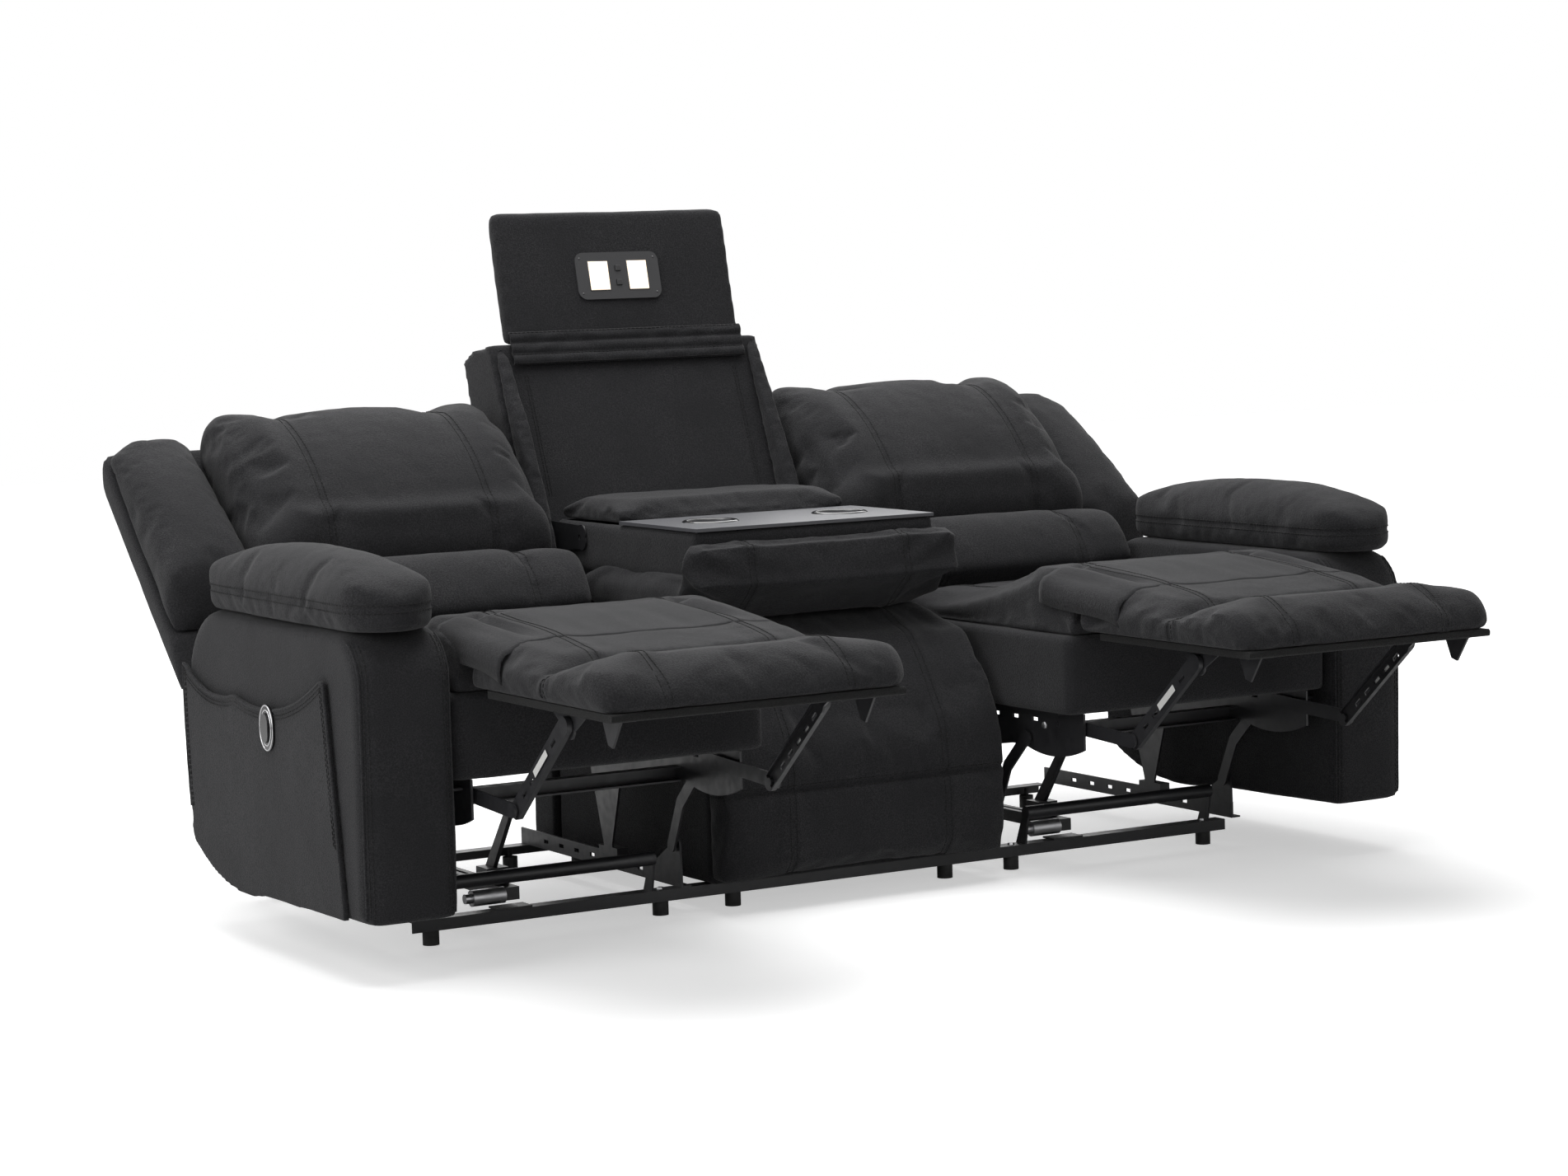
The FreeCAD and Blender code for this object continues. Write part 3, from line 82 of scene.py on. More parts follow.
# The elbow of the footrest links in the (y, z) plane, and the blank label on the upper link
ELBOW = (-0.4505, 0.275)
LABEL_START = 0.07
LABEL_LENGTH = 0.06
LABEL_HALF_WIDTH = 0.006
FOOT_PLACES = (-0.795, -0.362, -0.219, 0.219, 0.362, 0.795)
RIVET_HEIGHT = 0.003
BOLT_HEIGHT = 0.0035
# How deep a sewn line is drawn in: stitched flat on the cushion, or down into it as a channel
FLAT = 0.35
CHANNEL = 1.0


def middle_x(node):
    low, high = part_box(node)
    return (low.x + high.x) / 2


# The plane of the arm fronts, which the photograph's camera was solved from
ARM_FRONT_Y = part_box("right_arm_body")[0].y


class UpholsterySettings(bpy.types.PropertyGroup):
    dark: bpy.props.FloatVectorProperty(
        name="Fabric", description="Main colour of the fabric", subtype="COLOR", size=4,
        default=(0.018, 0.018, 0.0195, 1),
    )
    light: bpy.props.FloatVectorProperty(
        name="Grain", description="Colour of the raised grain", subtype="COLOR", size=4,
        default=(0.052, 0.051, 0.054, 1),
    )
    thread: bpy.props.FloatVectorProperty(
        name="Thread", description="Colour of the stitching", subtype="COLOR", size=4,
        default=(0.012, 0.012, 0.012, 1),
    )
    voxel: bpy.props.FloatProperty(
        name="Cloth grid", description="Spacing of the cloth's points", default=0.0095, unit="LENGTH"
    )
    firm_voxel: bpy.props.FloatProperty(
        name="Firm grid", description="Spacing of points on upholstered frames", default=0.0085, unit="LENGTH"
    )
    pressure: bpy.props.FloatProperty(
        name="Filling", description="Pressure inside a cushion", default=3.2, min=0,
    )
    slack: bpy.props.FloatProperty(
        name="Slack", description="Share by which the cloth is larger than its cushion", default=0.014,
        min=0, max=0.3,
    )
    rise: bpy.props.FloatProperty(
        name="Most swelling", description="How far a point may move as the cushion fills", default=0.014,
        unit="LENGTH",
    )
    inset: bpy.props.FloatProperty(
        name="Start inset", description="How far a cushion starts inside its solid", default=0.004,
        unit="LENGTH",
    )
    groove: bpy.props.FloatProperty(
        name="Seam depth", description="Depth of a sewn channel", default=0.0055, unit="LENGTH"
    )
    seam_fill: bpy.props.FloatProperty(
        name="Seam filling", description="Rise of the filling under a flat seam", default=0.005, unit="LENGTH"
    )
    groove_width: bpy.props.FloatProperty(
        name="Seam width", description="Half width of a sewn channel", default=0.007, unit="LENGTH"
    )
    stitch: bpy.props.FloatProperty(
        name="Stitch", description="Length of a stitch", default=0.0065, unit="LENGTH",
    )
    stitch_gap: bpy.props.FloatProperty(
        name="Stitch gap", description="Gap between stitches", default=0.0025, unit="LENGTH"
    )
    thread_radius: bpy.props.FloatProperty(
        name="Thread radius", description="Radius of the sewing thread", default=0.0009, unit="LENGTH"
    )
    piping_radius: bpy.props.FloatProperty(
        name="Piping radius", description="Radius of the piping cord", default=0.0035, unit="LENGTH"
    )


class FittingSettings(bpy.types.PropertyGroup):
    black_steel: bpy.props.FloatVectorProperty(
        name="Black steel", description="Paint of the base frame", subtype="COLOR", size=4,
        default=(0.018, 0.018, 0.02, 1),
    )
    grey_steel: bpy.props.FloatVectorProperty(
        name="Grey steel", description="Paint of the moving links", subtype="COLOR", size=4,
        default=(0.022, 0.022, 0.024, 1),
    )
    tray: bpy.props.FloatVectorProperty(
        name="Tray", description="Plastic of the cup tray", subtype="COLOR", size=4,
        default=(0.085, 0.086, 0.094, 1),
    )
    lamp: bpy.props.FloatVectorProperty(
        name="Lamp light", description="Colour of the lit lamps", subtype="COLOR", size=4,
        default=(1.0, 0.83, 0.66, 1),
    )
    lamp_strength: bpy.props.FloatProperty(
        name="Lamp strength", description="Strength of the lit lamps", default=1.0, min=0
    )
    rivet: bpy.props.FloatProperty(
        name="Rivet radius", description="Radius of a rivet head", default=0.007, unit="LENGTH",
    )
    bolt: bpy.props.FloatProperty(
        name="Bolt radius", description="Radius of a bolt head", default=0.0065, unit="LENGTH",
    )


class StageSettings(bpy.types.PropertyGroup):
    camera_place: bpy.props.FloatVectorProperty(
        name="Camera", description="Camera's place from the arm fronts", subtype="XYZ", unit="LENGTH",
        default=(-3.2375, -5.1526, 1.1136),
    )
    camera_aim: bpy.props.FloatVectorProperty(
        name="Aim", description="Direction that the camera looks in", subtype="XYZ",
        default=(0.49702195, 0.86307789, -0.08980942),
    )
    camera_roll: bpy.props.FloatProperty(
        name="Roll", description="Turn of the camera about its line of sight", subtype="ANGLE",
        default=math.radians(-1.7),
    )
    lens: bpy.props.FloatProperty(name="Lens", description="Focal length in millimetres", default=83.09)
    floor: bpy.props.FloatVectorProperty(
        name="Floor", description="Colour of the floor", subtype="COLOR", size=4,
        default=(0.86, 0.86, 0.86, 1),
    )
    shadow_reach: bpy.props.FloatProperty(
        name="Shadow reach", description="Distance over which the floor shows the shadow", default=1.7,
        unit="LENGTH",
    )
    floor_lift: bpy.props.FloatProperty(
        name="Floor lift", description="White added to the floor that the camera sees", default=0.5, min=0
    )
    key_power: bpy.props.FloatProperty(
        name="Key light", description="Power of the main lamp", default=150.0, unit="POWER",
    )
    fill_power: bpy.props.FloatProperty(
        name="Fill light", description="Power of the side lamp", default=60.0, unit="POWER",
    )
    world: bpy.props.FloatProperty(
        name="Room light", description="Strength of the light from all round", default=0.16,
    )


# Shader groups shared by the materials


def new_group(name, inputs, outputs):
    """An empty shader node group with named sockets, and its input and output nodes."""
    group = bpy.data.node_groups.new(name, "ShaderNodeTree")
    for socket, kind, value in inputs:
        made = group.interface.new_socket(socket, in_out="INPUT", socket_type=kind)
        made.default_value = value
    for socket, kind in outputs:
        group.interface.new_socket(socket, in_out="OUTPUT", socket_type=kind)
    return group, group.nodes.new("NodeGroupInput"), group.nodes.new("NodeGroupOutput")


def textured(group, scale_from, detail, kind="ShaderNodeTexNoise"):
    """A texture on Object coordinates inside a group, scaled by a group input."""
    place = group.nodes.new("ShaderNodeTexCoord")
    texture = group.nodes.new(kind)
    group.links.new(place.outputs["Object"], texture.inputs["Vector"])
    group.links.new(scale_from, texture.inputs["Scale"])
    if "Detail" in texture.inputs:
        texture.inputs["Detail"].default_value = detail
    return texture


def grain_group():
    """Pebbled fabric grain: a colour between two given ones and a height."""
    group, inward, outward = new_group(
        "Fabric grain",
        [
            ("Dark", "NodeSocketColor", (0.03, 0.03, 0.03, 1)),
            ("Light", "NodeSocketColor", (0.08, 0.08, 0.08, 1)),
            ("Pebble scale", "NodeSocketFloat", 420.0),
            ("Cloud scale", "NodeSocketFloat", 9.0),
        ],
        [("Color", "NodeSocketColor"), ("Height", "NodeSocketFloat")],
    )
    pebble = textured(group, inward.outputs["Pebble scale"], 3.0)
    pebble.inputs["Roughness"].default_value = 0.6
    cloud = textured(group, inward.outputs["Cloud scale"], 4.0)
    spread = group.nodes.new("ShaderNodeMapRange")
    spread.inputs["From Min"].default_value = 0.42
    spread.inputs["From Max"].default_value = 0.72
    group.links.new(pebble.outputs["Fac"], spread.inputs["Value"])
    drift = group.nodes.new("ShaderNodeMapRange")
    drift.inputs["From Min"].default_value = 0.3
    drift.inputs["From Max"].default_value = 0.75
    drift.inputs["To Min"].default_value = 0.25
    drift.inputs["To Max"].default_value = 0.9
    group.links.new(cloud.outputs["Fac"], drift.inputs["Value"])
    share = group.nodes.new("ShaderNodeMath")
    share.operation = "MULTIPLY"
    group.links.new(spread.outputs["Result"], share.inputs[0])
    group.links.new(drift.outputs["Result"], share.inputs[1])
    mix = group.nodes.new("ShaderNodeMix")
    mix.data_type = "RGBA"
    group.links.new(share.outputs["Value"], mix.inputs["Factor"])
    group.links.new(inward.outputs["Dark"], mix.inputs["A"])
    group.links.new(inward.outputs["Light"], mix.inputs["B"])
    group.links.new(mix.outputs["Result"], outward.inputs["Color"])
    group.links.new(spread.outputs["Result"], outward.inputs["Height"])
    return group


def wear_group():
    """Small uneven patches for paint, plastic and plated metal: a roughness and a height."""
    group, inward, outward = new_group(
        "Surface wear",
        [
            ("Smooth", "NodeSocketFloat", 0.3),
            ("Rough", "NodeSocketFloat", 0.5),
            ("Scale", "NodeSocketFloat", 60.0),
        ],
        [("Roughness", "NodeSocketFloat"), ("Height", "NodeSocketFloat")],
    )
    patch = textured(group, inward.outputs["Scale"], 5.0)
    spread = group.nodes.new("ShaderNodeMapRange")
    spread.inputs["From Min"].default_value = 0.3
    spread.inputs["From Max"].default_value = 0.7
    group.links.new(patch.outputs["Fac"], spread.inputs["Value"])
    group.links.new(inward.outputs["Smooth"], spread.inputs["To Min"])
    group.links.new(inward.outputs["Rough"], spread.inputs["To Max"])
    group.links.new(spread.outputs["Result"], outward.inputs["Roughness"])
    group.links.new(patch.outputs["Fac"], outward.inputs["Height"])
    return group


def blank_material(name, **values):
    """A material with one Principled shader, its fixed values set on the shader's own sockets."""
    material = bpy.data.materials.new(name)
    material.use_nodes = True
    shader = material.node_tree.nodes["Principled BSDF"]
    for socket, value in values.items():
        shader.inputs[socket.replace("_", " ").title() if socket.islower() else socket].default_value = value
    return material, material.node_tree, shader


def shared(tree, group, **values):
    """A group placed in a material, with its input values."""
    node = tree.nodes.new("ShaderNodeGroup")
    node.node_tree = group
    for socket, value in values.items():
        node.inputs[socket.replace("_", " ").capitalize()].default_value = value
    return node


def bumped(tree, shader, height, distance, strength=0.6):
    bump = tree.nodes.new("ShaderNodeBump")
    bump.inputs["Distance"].default_value = distance
    bump.inputs["Strength"].default_value = strength
    tree.links.new(height, bump.inputs["Height"])
    tree.links.new(bump.outputs["Normal"], shader.inputs["Normal"])


def fabric_material(name, dark, light, sheen=0.12, pebble=420.0):
    material, tree, shader = blank_material(name, roughness=0.82)
    shader.inputs["Sheen Weight"].default_value = sheen
    shader.inputs["Sheen Roughness"].default_value = 0.45
    shader.inputs["Specular IOR Level"].default_value = 0.12
    grain = shared(tree, bpy.data.node_groups["Fabric grain"], dark=dark, light=light, pebble_scale=pebble)
    tree.links.new(grain.outputs["Color"], shader.inputs["Base Color"])
    bumped(tree, shader, grain.outputs["Height"], 0.0009)
    return material


def hard_material(name, colour, smooth, rough, scale=60.0, metallic=0.0, dent=0.0002, coat=0.0):
    material, tree, shader = blank_material(name, metallic=metallic)
    shader.inputs["Base Color"].default_value = colour
    shader.inputs["Coat Weight"].default_value = coat
    wear = shared(tree, bpy.data.node_groups["Surface wear"], smooth=smooth, rough=rough, scale=scale)
    tree.links.new(wear.outputs["Roughness"], shader.inputs["Roughness"])
    bumped(tree, shader, wear.outputs["Height"], dent)
    return material


def make_materials(upholstery, fittings):
    """Every finish of the sofa by name."""
    grain_group()
    wear_group()
    made = {
        "fabric": fabric_material("Charcoal fabric", tuple(upholstery.dark), tuple(upholstery.light)),
        "thread": fabric_material(
            "Sewing thread", tuple(upholstery.thread), tuple(upholstery.light), sheen=0.1,
        ),
        "board_cloth": fabric_material(
            "Board cloth", (0.012, 0.012, 0.012, 1), (0.03, 0.03, 0.03, 1), sheen=0.1, pebble=900.0
        ),
        "black_steel": hard_material("Black painted steel", tuple(fittings.black_steel), 0.32, 0.5),
        "grey_steel": hard_material("Grey painted steel", tuple(fittings.grey_steel), 0.3, 0.48),
        "plated": hard_material("Plated steel", (0.42, 0.42, 0.43, 1), 0.28, 0.5, metallic=1.0),
        "chrome": hard_material("Bright ring", (0.62, 0.62, 0.63, 1), 0.12, 0.22, metallic=1.0, dent=0.0),
        "black_plastic": hard_material("Black plastic", (0.016, 0.016, 0.017, 1), 0.38, 0.52, scale=300.0),
        "gloss_black": hard_material("Gloss black", (0.01, 0.01, 0.011, 1), 0.12, 0.2, coat=0.6),
        "tray": hard_material("Tray plastic", tuple(fittings.tray), 0.4, 0.52, scale=500.0),
        "plate": hard_material("Plate plastic", (0.03, 0.03, 0.032, 1), 0.4, 0.5, scale=300.0),
        "rubber": hard_material("Foot rubber", (0.012, 0.012, 0.012, 1), 0.6, 0.8),
        "label": hard_material("Blank label", (0.7, 0.7, 0.68, 1), 0.45, 0.6),
    }
    lamp, _, shader = blank_material("Lit lamp", roughness=0.35)
    shader.inputs["Base Color"].default_value = tuple(fittings.lamp)
    shader.inputs["Emission Color"].default_value = tuple(fittings.lamp)
    shader.inputs["Emission Strength"].default_value = fittings.lamp_strength
    made["lamp"] = lamp
    return made


MATERIALS = {}


def paint(obj, material):
    obj.data.materials.clear()
    obj.data.materials.append(MATERIALS[material])


def body_of(node):
    """The CAD body that a node rides on."""
    for body, nodes in frame["record"]["behaviour"]["bodies"].items():
        if node in nodes:
            return body
    raise ValueError(f"no body holds {node}")


def object_from(name, bm):
    """A new object in the scene from a bmesh, which is freed."""
    mesh = bpy.data.meshes.new(name)
    bm.to_mesh(mesh)
    bm.free()
    obj = bpy.data.objects.new(name, mesh)
    bpy.context.scene.collection.objects.link(obj)
    return obj


def add_piece(name, bm, material, body, smooth=True):
    """A finished piece from a bmesh, riding on a body."""
    obj = object_from(name, bm)
    if smooth:
        obj.data.shade_smooth()
    paint(obj, material)
    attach(obj, body)
    return obj


def evaluated_copy(obj, name):
    """The object's mesh with its modifiers applied, under a new name."""
    graph = bpy.context.evaluated_depsgraph_get()
    mesh = bpy.data.meshes.new_from_object(obj.evaluated_get(graph))
    mesh.name = name
    return mesh


def settle_modifiers(obj):
    """Puts what the modifiers make into the object's own mesh and removes them."""
    mesh = evaluated_copy(obj, obj.name)
    obj.modifiers.clear()
    obj.data = mesh


# Cushions. A cushion starts as a copy of its solid, is drawn in a little, and is filled as cloth that is held
# along its sewn lines and where it is fixed.

DOWN = Vector((0, 0, -1))
BACK_REAR = Vector((0, 0.695, -0.719))
CUSHION_FIXING = {
    "seat_cushion": DOWN,
    "footrest_pad": DOWN,
    "arm_pad": DOWN,
    "back_pillow": BACK_REAR,
    "lumbar_roll": BACK_REAR,
    "back_wing": BACK_REAR,
}


def cushion_plan():
    """(node, direction that is fixed, sewn planes as (axis, place, depth)) of every cushion."""
    plan = []
    for side in SIDES:
        for kind, fixed in CUSHION_FIXING.items():
            node = f"{side}_{kind}"
            seams = []
            if kind in ("seat_cushion", "back_pillow", "lumbar_roll", "footrest_pad"):
                centre = middle_x(node)
                seams = [(0, centre - SEAM_OFFSET, FLAT), (0, centre + SEAM_OFFSET, FLAT)]
            if kind == "arm_pad":
                seams = [(2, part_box(node)[0].z + ARM_PAD_SEAM, FLAT)]
            if kind == "footrest_pad":
                seams.append((1, ARM_FRONT_Y - FOOTREST_FOLD, CHANNEL))
            plan.append((node, fixed, seams))
    sides = [(0, -SEAM_OFFSET, FLAT), (0, SEAM_OFFSET, FLAT)]
    plan.append(("mid_seat_cushion", Vector((0, 1, 0)), sides + [(2, MID_CROSS_SEAM_HEIGHT, CHANNEL)]))
    plan.append(("console_cushion", Vector((0, 1, 0)), sides))
    plan.append(("console_lid", DOWN, []))
    plan.append(("mid_back_wings", Vector((0, 0.93, -0.36)), []))
    return plan


def merged_copy(node, name):
    """A new object with a merged copy of a node's mesh."""
    bm = bmesh.new()
    bm.from_mesh(frame["nodes"][node].data)
    bmesh.ops.remove_doubles(bm, verts=bm.verts, dist=1e-5)
    bmesh.ops.recalc_face_normals(bm, faces=bm.faces)
    return object_from(name, bm)


def regrid(obj, voxel, rounds):
    """An even grid of points over the piece, with its sharp edges eased."""
    remesh = obj.modifiers.new("Grid", "REMESH")
    remesh.mode = "VOXEL"
    remesh.voxel_size = voxel
    ease = obj.modifiers.new("Ease", "SMOOTH")
    ease.factor = 0.5
    ease.iterations = rounds
    settle_modifiers(obj)


def held_share(place, normal, fixed, seams, reach):
    """1 where the cloth is fixed or sewn, 0 where it is free."""
    if normal.dot(fixed) > 0.8:
        return 1.0
    nearest = min((abs(place[axis] - at) for axis, at, depth in seams if depth == CHANNEL), default=1.0)
    return max(0.0, 1.0 - nearest / reach) ** 0.5 if nearest < reach else 0.0


# Rounds of smoothing for the forms that are rounder than the rest
EASING = {"arm_pad": 18, "cushion": 16, "back_pillow": 10, "back_wing": 10, "lumbar_roll": 9}


def prepare_cushion(node, fixed, seams, settings):
    """The cushion's cloth before it is filled, and the places that its points started from."""
    obj = merged_copy(node, f"{node}_cover")
    regrid(obj, settings.voxel, EASING.get(node.split("_", 1)[1], 7))
    mesh = obj.data
    group = obj.vertex_groups.new(name="sewn")
    starts = [v.co.copy() for v in mesh.vertices]
    held = [held_share(v.co, v.normal, fixed, seams, settings.voxel * 1.2) for v in mesh.vertices]
    normals = [v.normal.copy() for v in mesh.vertices]
    for v, share, normal in zip(mesh.vertices, held, normals):
        v.co -= normal * settings.inset * (1 - share)
        if share > 0:
            group.add([v.index], share, "REPLACE")
    cloth = obj.modifiers.new("Filling", "CLOTH")
    cloth.settings.quality = 5
    cloth.settings.mass = 0.3
    cloth.settings.tension_stiffness = 12
    cloth.settings.compression_stiffness = 12
    cloth.settings.shear_stiffness = 4
    cloth.settings.bending_stiffness = 0.35
    cloth.settings.use_pressure = True
    cloth.settings.uniform_pressure_force = settings.pressure
    cloth.settings.effector_weights.gravity = 0
    cloth.settings.shrink_min = -settings.slack
    cloth.settings.vertex_group_mass = "sewn"
    cloth.collision_settings.use_collision = False
    return obj, starts


def fill_all(prepared):
    """Runs the cloth of every cushion together, and puts the result in the meshes."""
    scene = bpy.context.scene
    for step in range(1, 21):
        scene.frame_set(step)
    for obj, _, _ in prepared:
        settle_modifiers(obj)
    scene.frame_set(1)


FOOTREST_HINGES = {
    j["child"]: Vector(j["pos_m"]) for j in frame["joints"] if j["child"].endswith("_footrest")
}


def keep_in_room(obj, node, starts, settings):
    """Limits how far a point has moved, and keeps the cushion off its neighbours' paths."""
    low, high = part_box(node)
    side_room = 0.003
    up_room = 0.008
    hinge = FOOTREST_HINGES.get(body_of(node))
    for v, start in zip(obj.data.vertices, starts):
        moved = v.co - start
        if moved.length > settings.rise:
            v.co = start + moved.normalized() * settings.rise
        v.co.x = min(max(v.co.x, low.x - side_room), high.x + side_room)
        v.co.y = min(max(v.co.y, low.y - 0.001), high.y + 0.001)
        v.co.z = min(max(v.co.z, low.z), high.z + up_room)
        if hinge and v.co.y > hinge.y - 0.02:
            off = Vector((0, v.co.y - hinge.y, v.co.z - hinge.z))
            limit = high.z - hinge.z if hinge.z < high.z else off.length
            limit = min(limit, 0.0435)
            if off.length > limit and off.y > 0:
                v.co += off.normalized() * (limit - off.length)


def subdivided(obj):
    divide = obj.modifiers.new("Divide", "SUBSURF")
    divide.levels = 1
    divide.render_levels = 1
    settle_modifiers(obj)


def sew(obj, seams, fixed, settings, gather=0.0016):
    """Presses the sewn channels in, with small gathers beside them and uneven filling between."""
    mesh = obj.data
    normals = [v.normal.copy() for v in mesh.vertices]
    for v, normal in zip(mesh.vertices, normals):
        if normal.dot(fixed) > 0.8:
            continue
        place = v.co
        push = 0.0015 * noise.noise(place * 11) + 0.0007 * noise.noise(place * 37)
        for axis, at, depth in seams:
            away = abs(place[axis] - at)
            push -= depth * settings.groove * math.exp(-((away / settings.groove_width) ** 2))
            if depth == FLAT and axis == 0:
                push += settings.seam_fill * math.exp(-((away / 0.024) ** 2))
            along = place.copy()
            along[axis] = at
            ripple = noise.noise(along * 42 + Vector((at * 31, 0, 0)))
            push += (0.4 + depth) * gather * ripple * math.exp(-away / 0.03)
        v.co += normal * push


def cut_line(obj, axis, at, keep=None):
    """Runs of points where a plane cuts the piece, in order."""
    bm = bmesh.new()
    bm.from_mesh(obj.data)
    normal = Vector((0, 0, 0))
    normal[axis] = 1
    where = Vector((0, 0, 0))
    where[axis] = at
    cut = bmesh.ops.bisect_plane(
        bm, geom=bm.verts[:] + bm.edges[:] + bm.faces[:], plane_co=where, plane_no=normal,
    )
    edges = [e for e in cut["geom_cut"] if isinstance(e, bmesh.types.BMEdge)]
    neighbours = {}
    for e in edges:
        a, b = e.verts
        neighbours.setdefault(a, []).append(b)
        neighbours.setdefault(b, []).append(a)
    runs = []
    seen = set()
    for begin in neighbours:
        if begin in seen:
            continue
        run = [begin]
        seen.add(begin)
        going = True
        while going:
            going = False
            for other in neighbours[run[-1]]:
                if other not in seen:
                    run.append(other)
                    seen.add(other)
                    going = True
                    break
        if len(run) > 2:
            points = [(v.co.copy(), v.normal.copy()) for v in run]
            points.append(points[0])
            runs.append(points)
    bm.free()
    if keep is None:
        return runs
    kept = []
    for run in runs:
        current = []
        for place, face in run:
            if keep(place, face):
                current.append((place, face))
            elif current:
                kept.append(current)
                current = []
        if current:
            kept.append(current)
    return [run for run in kept if len(run) > 2]


def resampled(run, pitch):
    """Points at an even pitch along a run, with the normals carried along."""
    made = [run[0]]
    carried = 0.0
    for (a, na), (b, nb) in zip(run, run[1:]):
        span = (b - a).length
        if span == 0:
            continue
        step = pitch - carried
        while step <= span:
            share = step / span
            made.append((a.lerp(b, share), na.lerp(nb, share)))
            step += pitch
        carried = span - (step - pitch)
    return made


def tube_piece(name, lines, radius, material, body, sides=1, cyclic=False):
    """Round cords along lists of points, joined as one mesh piece."""
    curve = bpy.data.curves.new(name, "CURVE")
    curve.dimensions = "3D"
    curve.bevel_depth = radius
    curve.bevel_resolution = sides
    curve.use_fill_caps = True
    for line in lines:
        spline = curve.splines.new("POLY")
        spline.points.add(len(line) - 1)
        for point, place in zip(spline.points, line):
            point.co = (*place, 1)
        spline.use_cyclic_u = cyclic
    source = bpy.data.objects.new(name + "_line", curve)
    bpy.context.scene.collection.objects.link(source)
    mesh = evaluated_copy(source, name)
    bpy.data.objects.remove(source)
    obj = bpy.data.objects.new(name, mesh)
    bpy.context.scene.collection.objects.link(obj)
    mesh.shade_smooth()
    paint(obj, material)
    if body:
        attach(obj, body)
    return obj


def stitches(name, runs, settings, body):
    """A row of separate stitches along each run."""
    pitch = settings.stitch + settings.stitch_gap
    lines = []
    for run in runs:
        points = resampled(run, pitch / 4)
        for i in range(0, len(points) - 4, 4):
            ends = points[i : i + 4]
            lifts = (0.0, 0.0006, 0.0006, 0.0)
            lines.append([place + face * lift for (place, face), lift in zip(ends, lifts)])
    if lines:
        return tube_piece(name, lines, settings.thread_radius, "thread", body)
    return None


def visible_from_outside(fixed):
    return lambda place, face: face.dot(fixed) < 0.55


class SOFA_OT_cushions(bpy.types.Operator):
    """Fills the seat, footrest, arm, back and console cushions and sews their seams"""

    bl_idname = "sofa.cushions"
    bl_label = "Cushions"

    def execute(self, context):
        settings = context.scene.sofa_upholstery
        prepared = []
        for node, fixed, seams in cushion_plan():
            obj, starts = prepare_cushion(node, fixed, seams, settings)
            prepared.append((obj, starts, (node, fixed, seams)))
        fill_all(prepared)
        for obj, starts, (node, fixed, seams) in prepared:
            keep_in_room(obj, node, starts, settings)
            subdivided(obj)
            sew(obj, seams, fixed, settings)
            obj.data.shade_smooth()
            paint(obj, "fabric")
            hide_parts(node)
            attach(obj, body_of(node))
            keep = visible_from_outside(fixed)
            runs = []
            for axis, at, _ in seams:
                for offset in (-0.006, 0.006):
                    runs += cut_line(obj, axis, at + offset, keep)
            stitches(f"{node}_stitches", runs, settings, body_of(node))
        return {"FINISHED"}


# Upholstered frames: fabric drawn tight over boards

FIRM_NODES = [
    f"{side}_{kind}" for side in SIDES for kind in ("arm_body", "arm_side_panel", "back_shell", "seat_box")
]
FIRM_NODES += ["mid_back_shell", "mid_seat_box", "console_box", "head_panel"]


class SOFA_OT_covered_frames(bpy.types.Operator):
    """Covers the arms, shells, boxes and head panel in tight fabric with eased edges"""

    bl_idname = "sofa.covered_frames"
    bl_label = "Covered frames"

    def execute(self, context):
        settings = context.scene.sofa_upholstery
        for node in FIRM_NODES:
            obj = merged_copy(node, f"{node}_cover")
            thin = min(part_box(node)[1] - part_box(node)[0]) < 0.02
            regrid(obj, settings.firm_voxel * (0.5 if thin else 1.0), 2 if thin else 3)
            normals = [v.normal.copy() for v in obj.data.vertices]
            for v, normal in zip(obj.data.vertices, normals):
                v.co += normal * (0.0012 * noise.noise(v.co * 7) + 0.0004 * noise.noise(v.co * 31))
            obj.data.shade_smooth()
            paint(obj, "fabric")
            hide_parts(node)
            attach(obj, body_of(node))
        return {"FINISHED"}


# Steelwork, drives and feet keep their solids and get finishes and small fasteners

NODE_FINISH = {
    "front_rail": "black_steel",
    "base_side_rails": "black_steel",
    "front_tubes": "black_steel",
    "console_hinge_plates": "black_steel",
    "feet": "rubber",
    "motor_cans": "plated",
    "gearboxes": "black_plastic",
    "console_tray": "tray",
    "light_plate": "plate",
    "lamp_lenses": "lamp",
    "light_switch_upper": "black_plastic",
    "light_switch_lower": "black_plastic",
}
SIDE_FINISH = {
    "seat_frame": "grey_steel",
    "back_brackets": "grey_steel",
    "footrest_brackets": "grey_steel",
    "upper_links": "grey_steel",
    "lower_links": "black_steel",
    "swing_links": "black_steel",
    "switch_bezel": "gloss_black",
    "switch_button": "gloss_black",
    "footrest_board": "board_cloth",
}


def joint_place(name):
    for joint in frame["joints"]:
        if joint["name"] == name:
            return Vector(joint["pos_m"])
    raise ValueError(f"no joint named {name}")


def disc(bm, centre, axis, radius, depth, segments=20):
    """A round head with an eased rim, standing on centre and pointing along axis."""
    made = bmesh.ops.create_cone(
        bm, cap_ends=True, segments=segments, radius1=radius, radius2=radius * 0.82, depth=depth,
    )
    turn = Vector((0, 0, 1)).rotation_difference(axis).to_matrix().to_4x4()
    bmesh.ops.transform(
        bm, matrix=Matrix.Translation(centre + axis * depth / 2) @ turn, verts=made["verts"]
    )


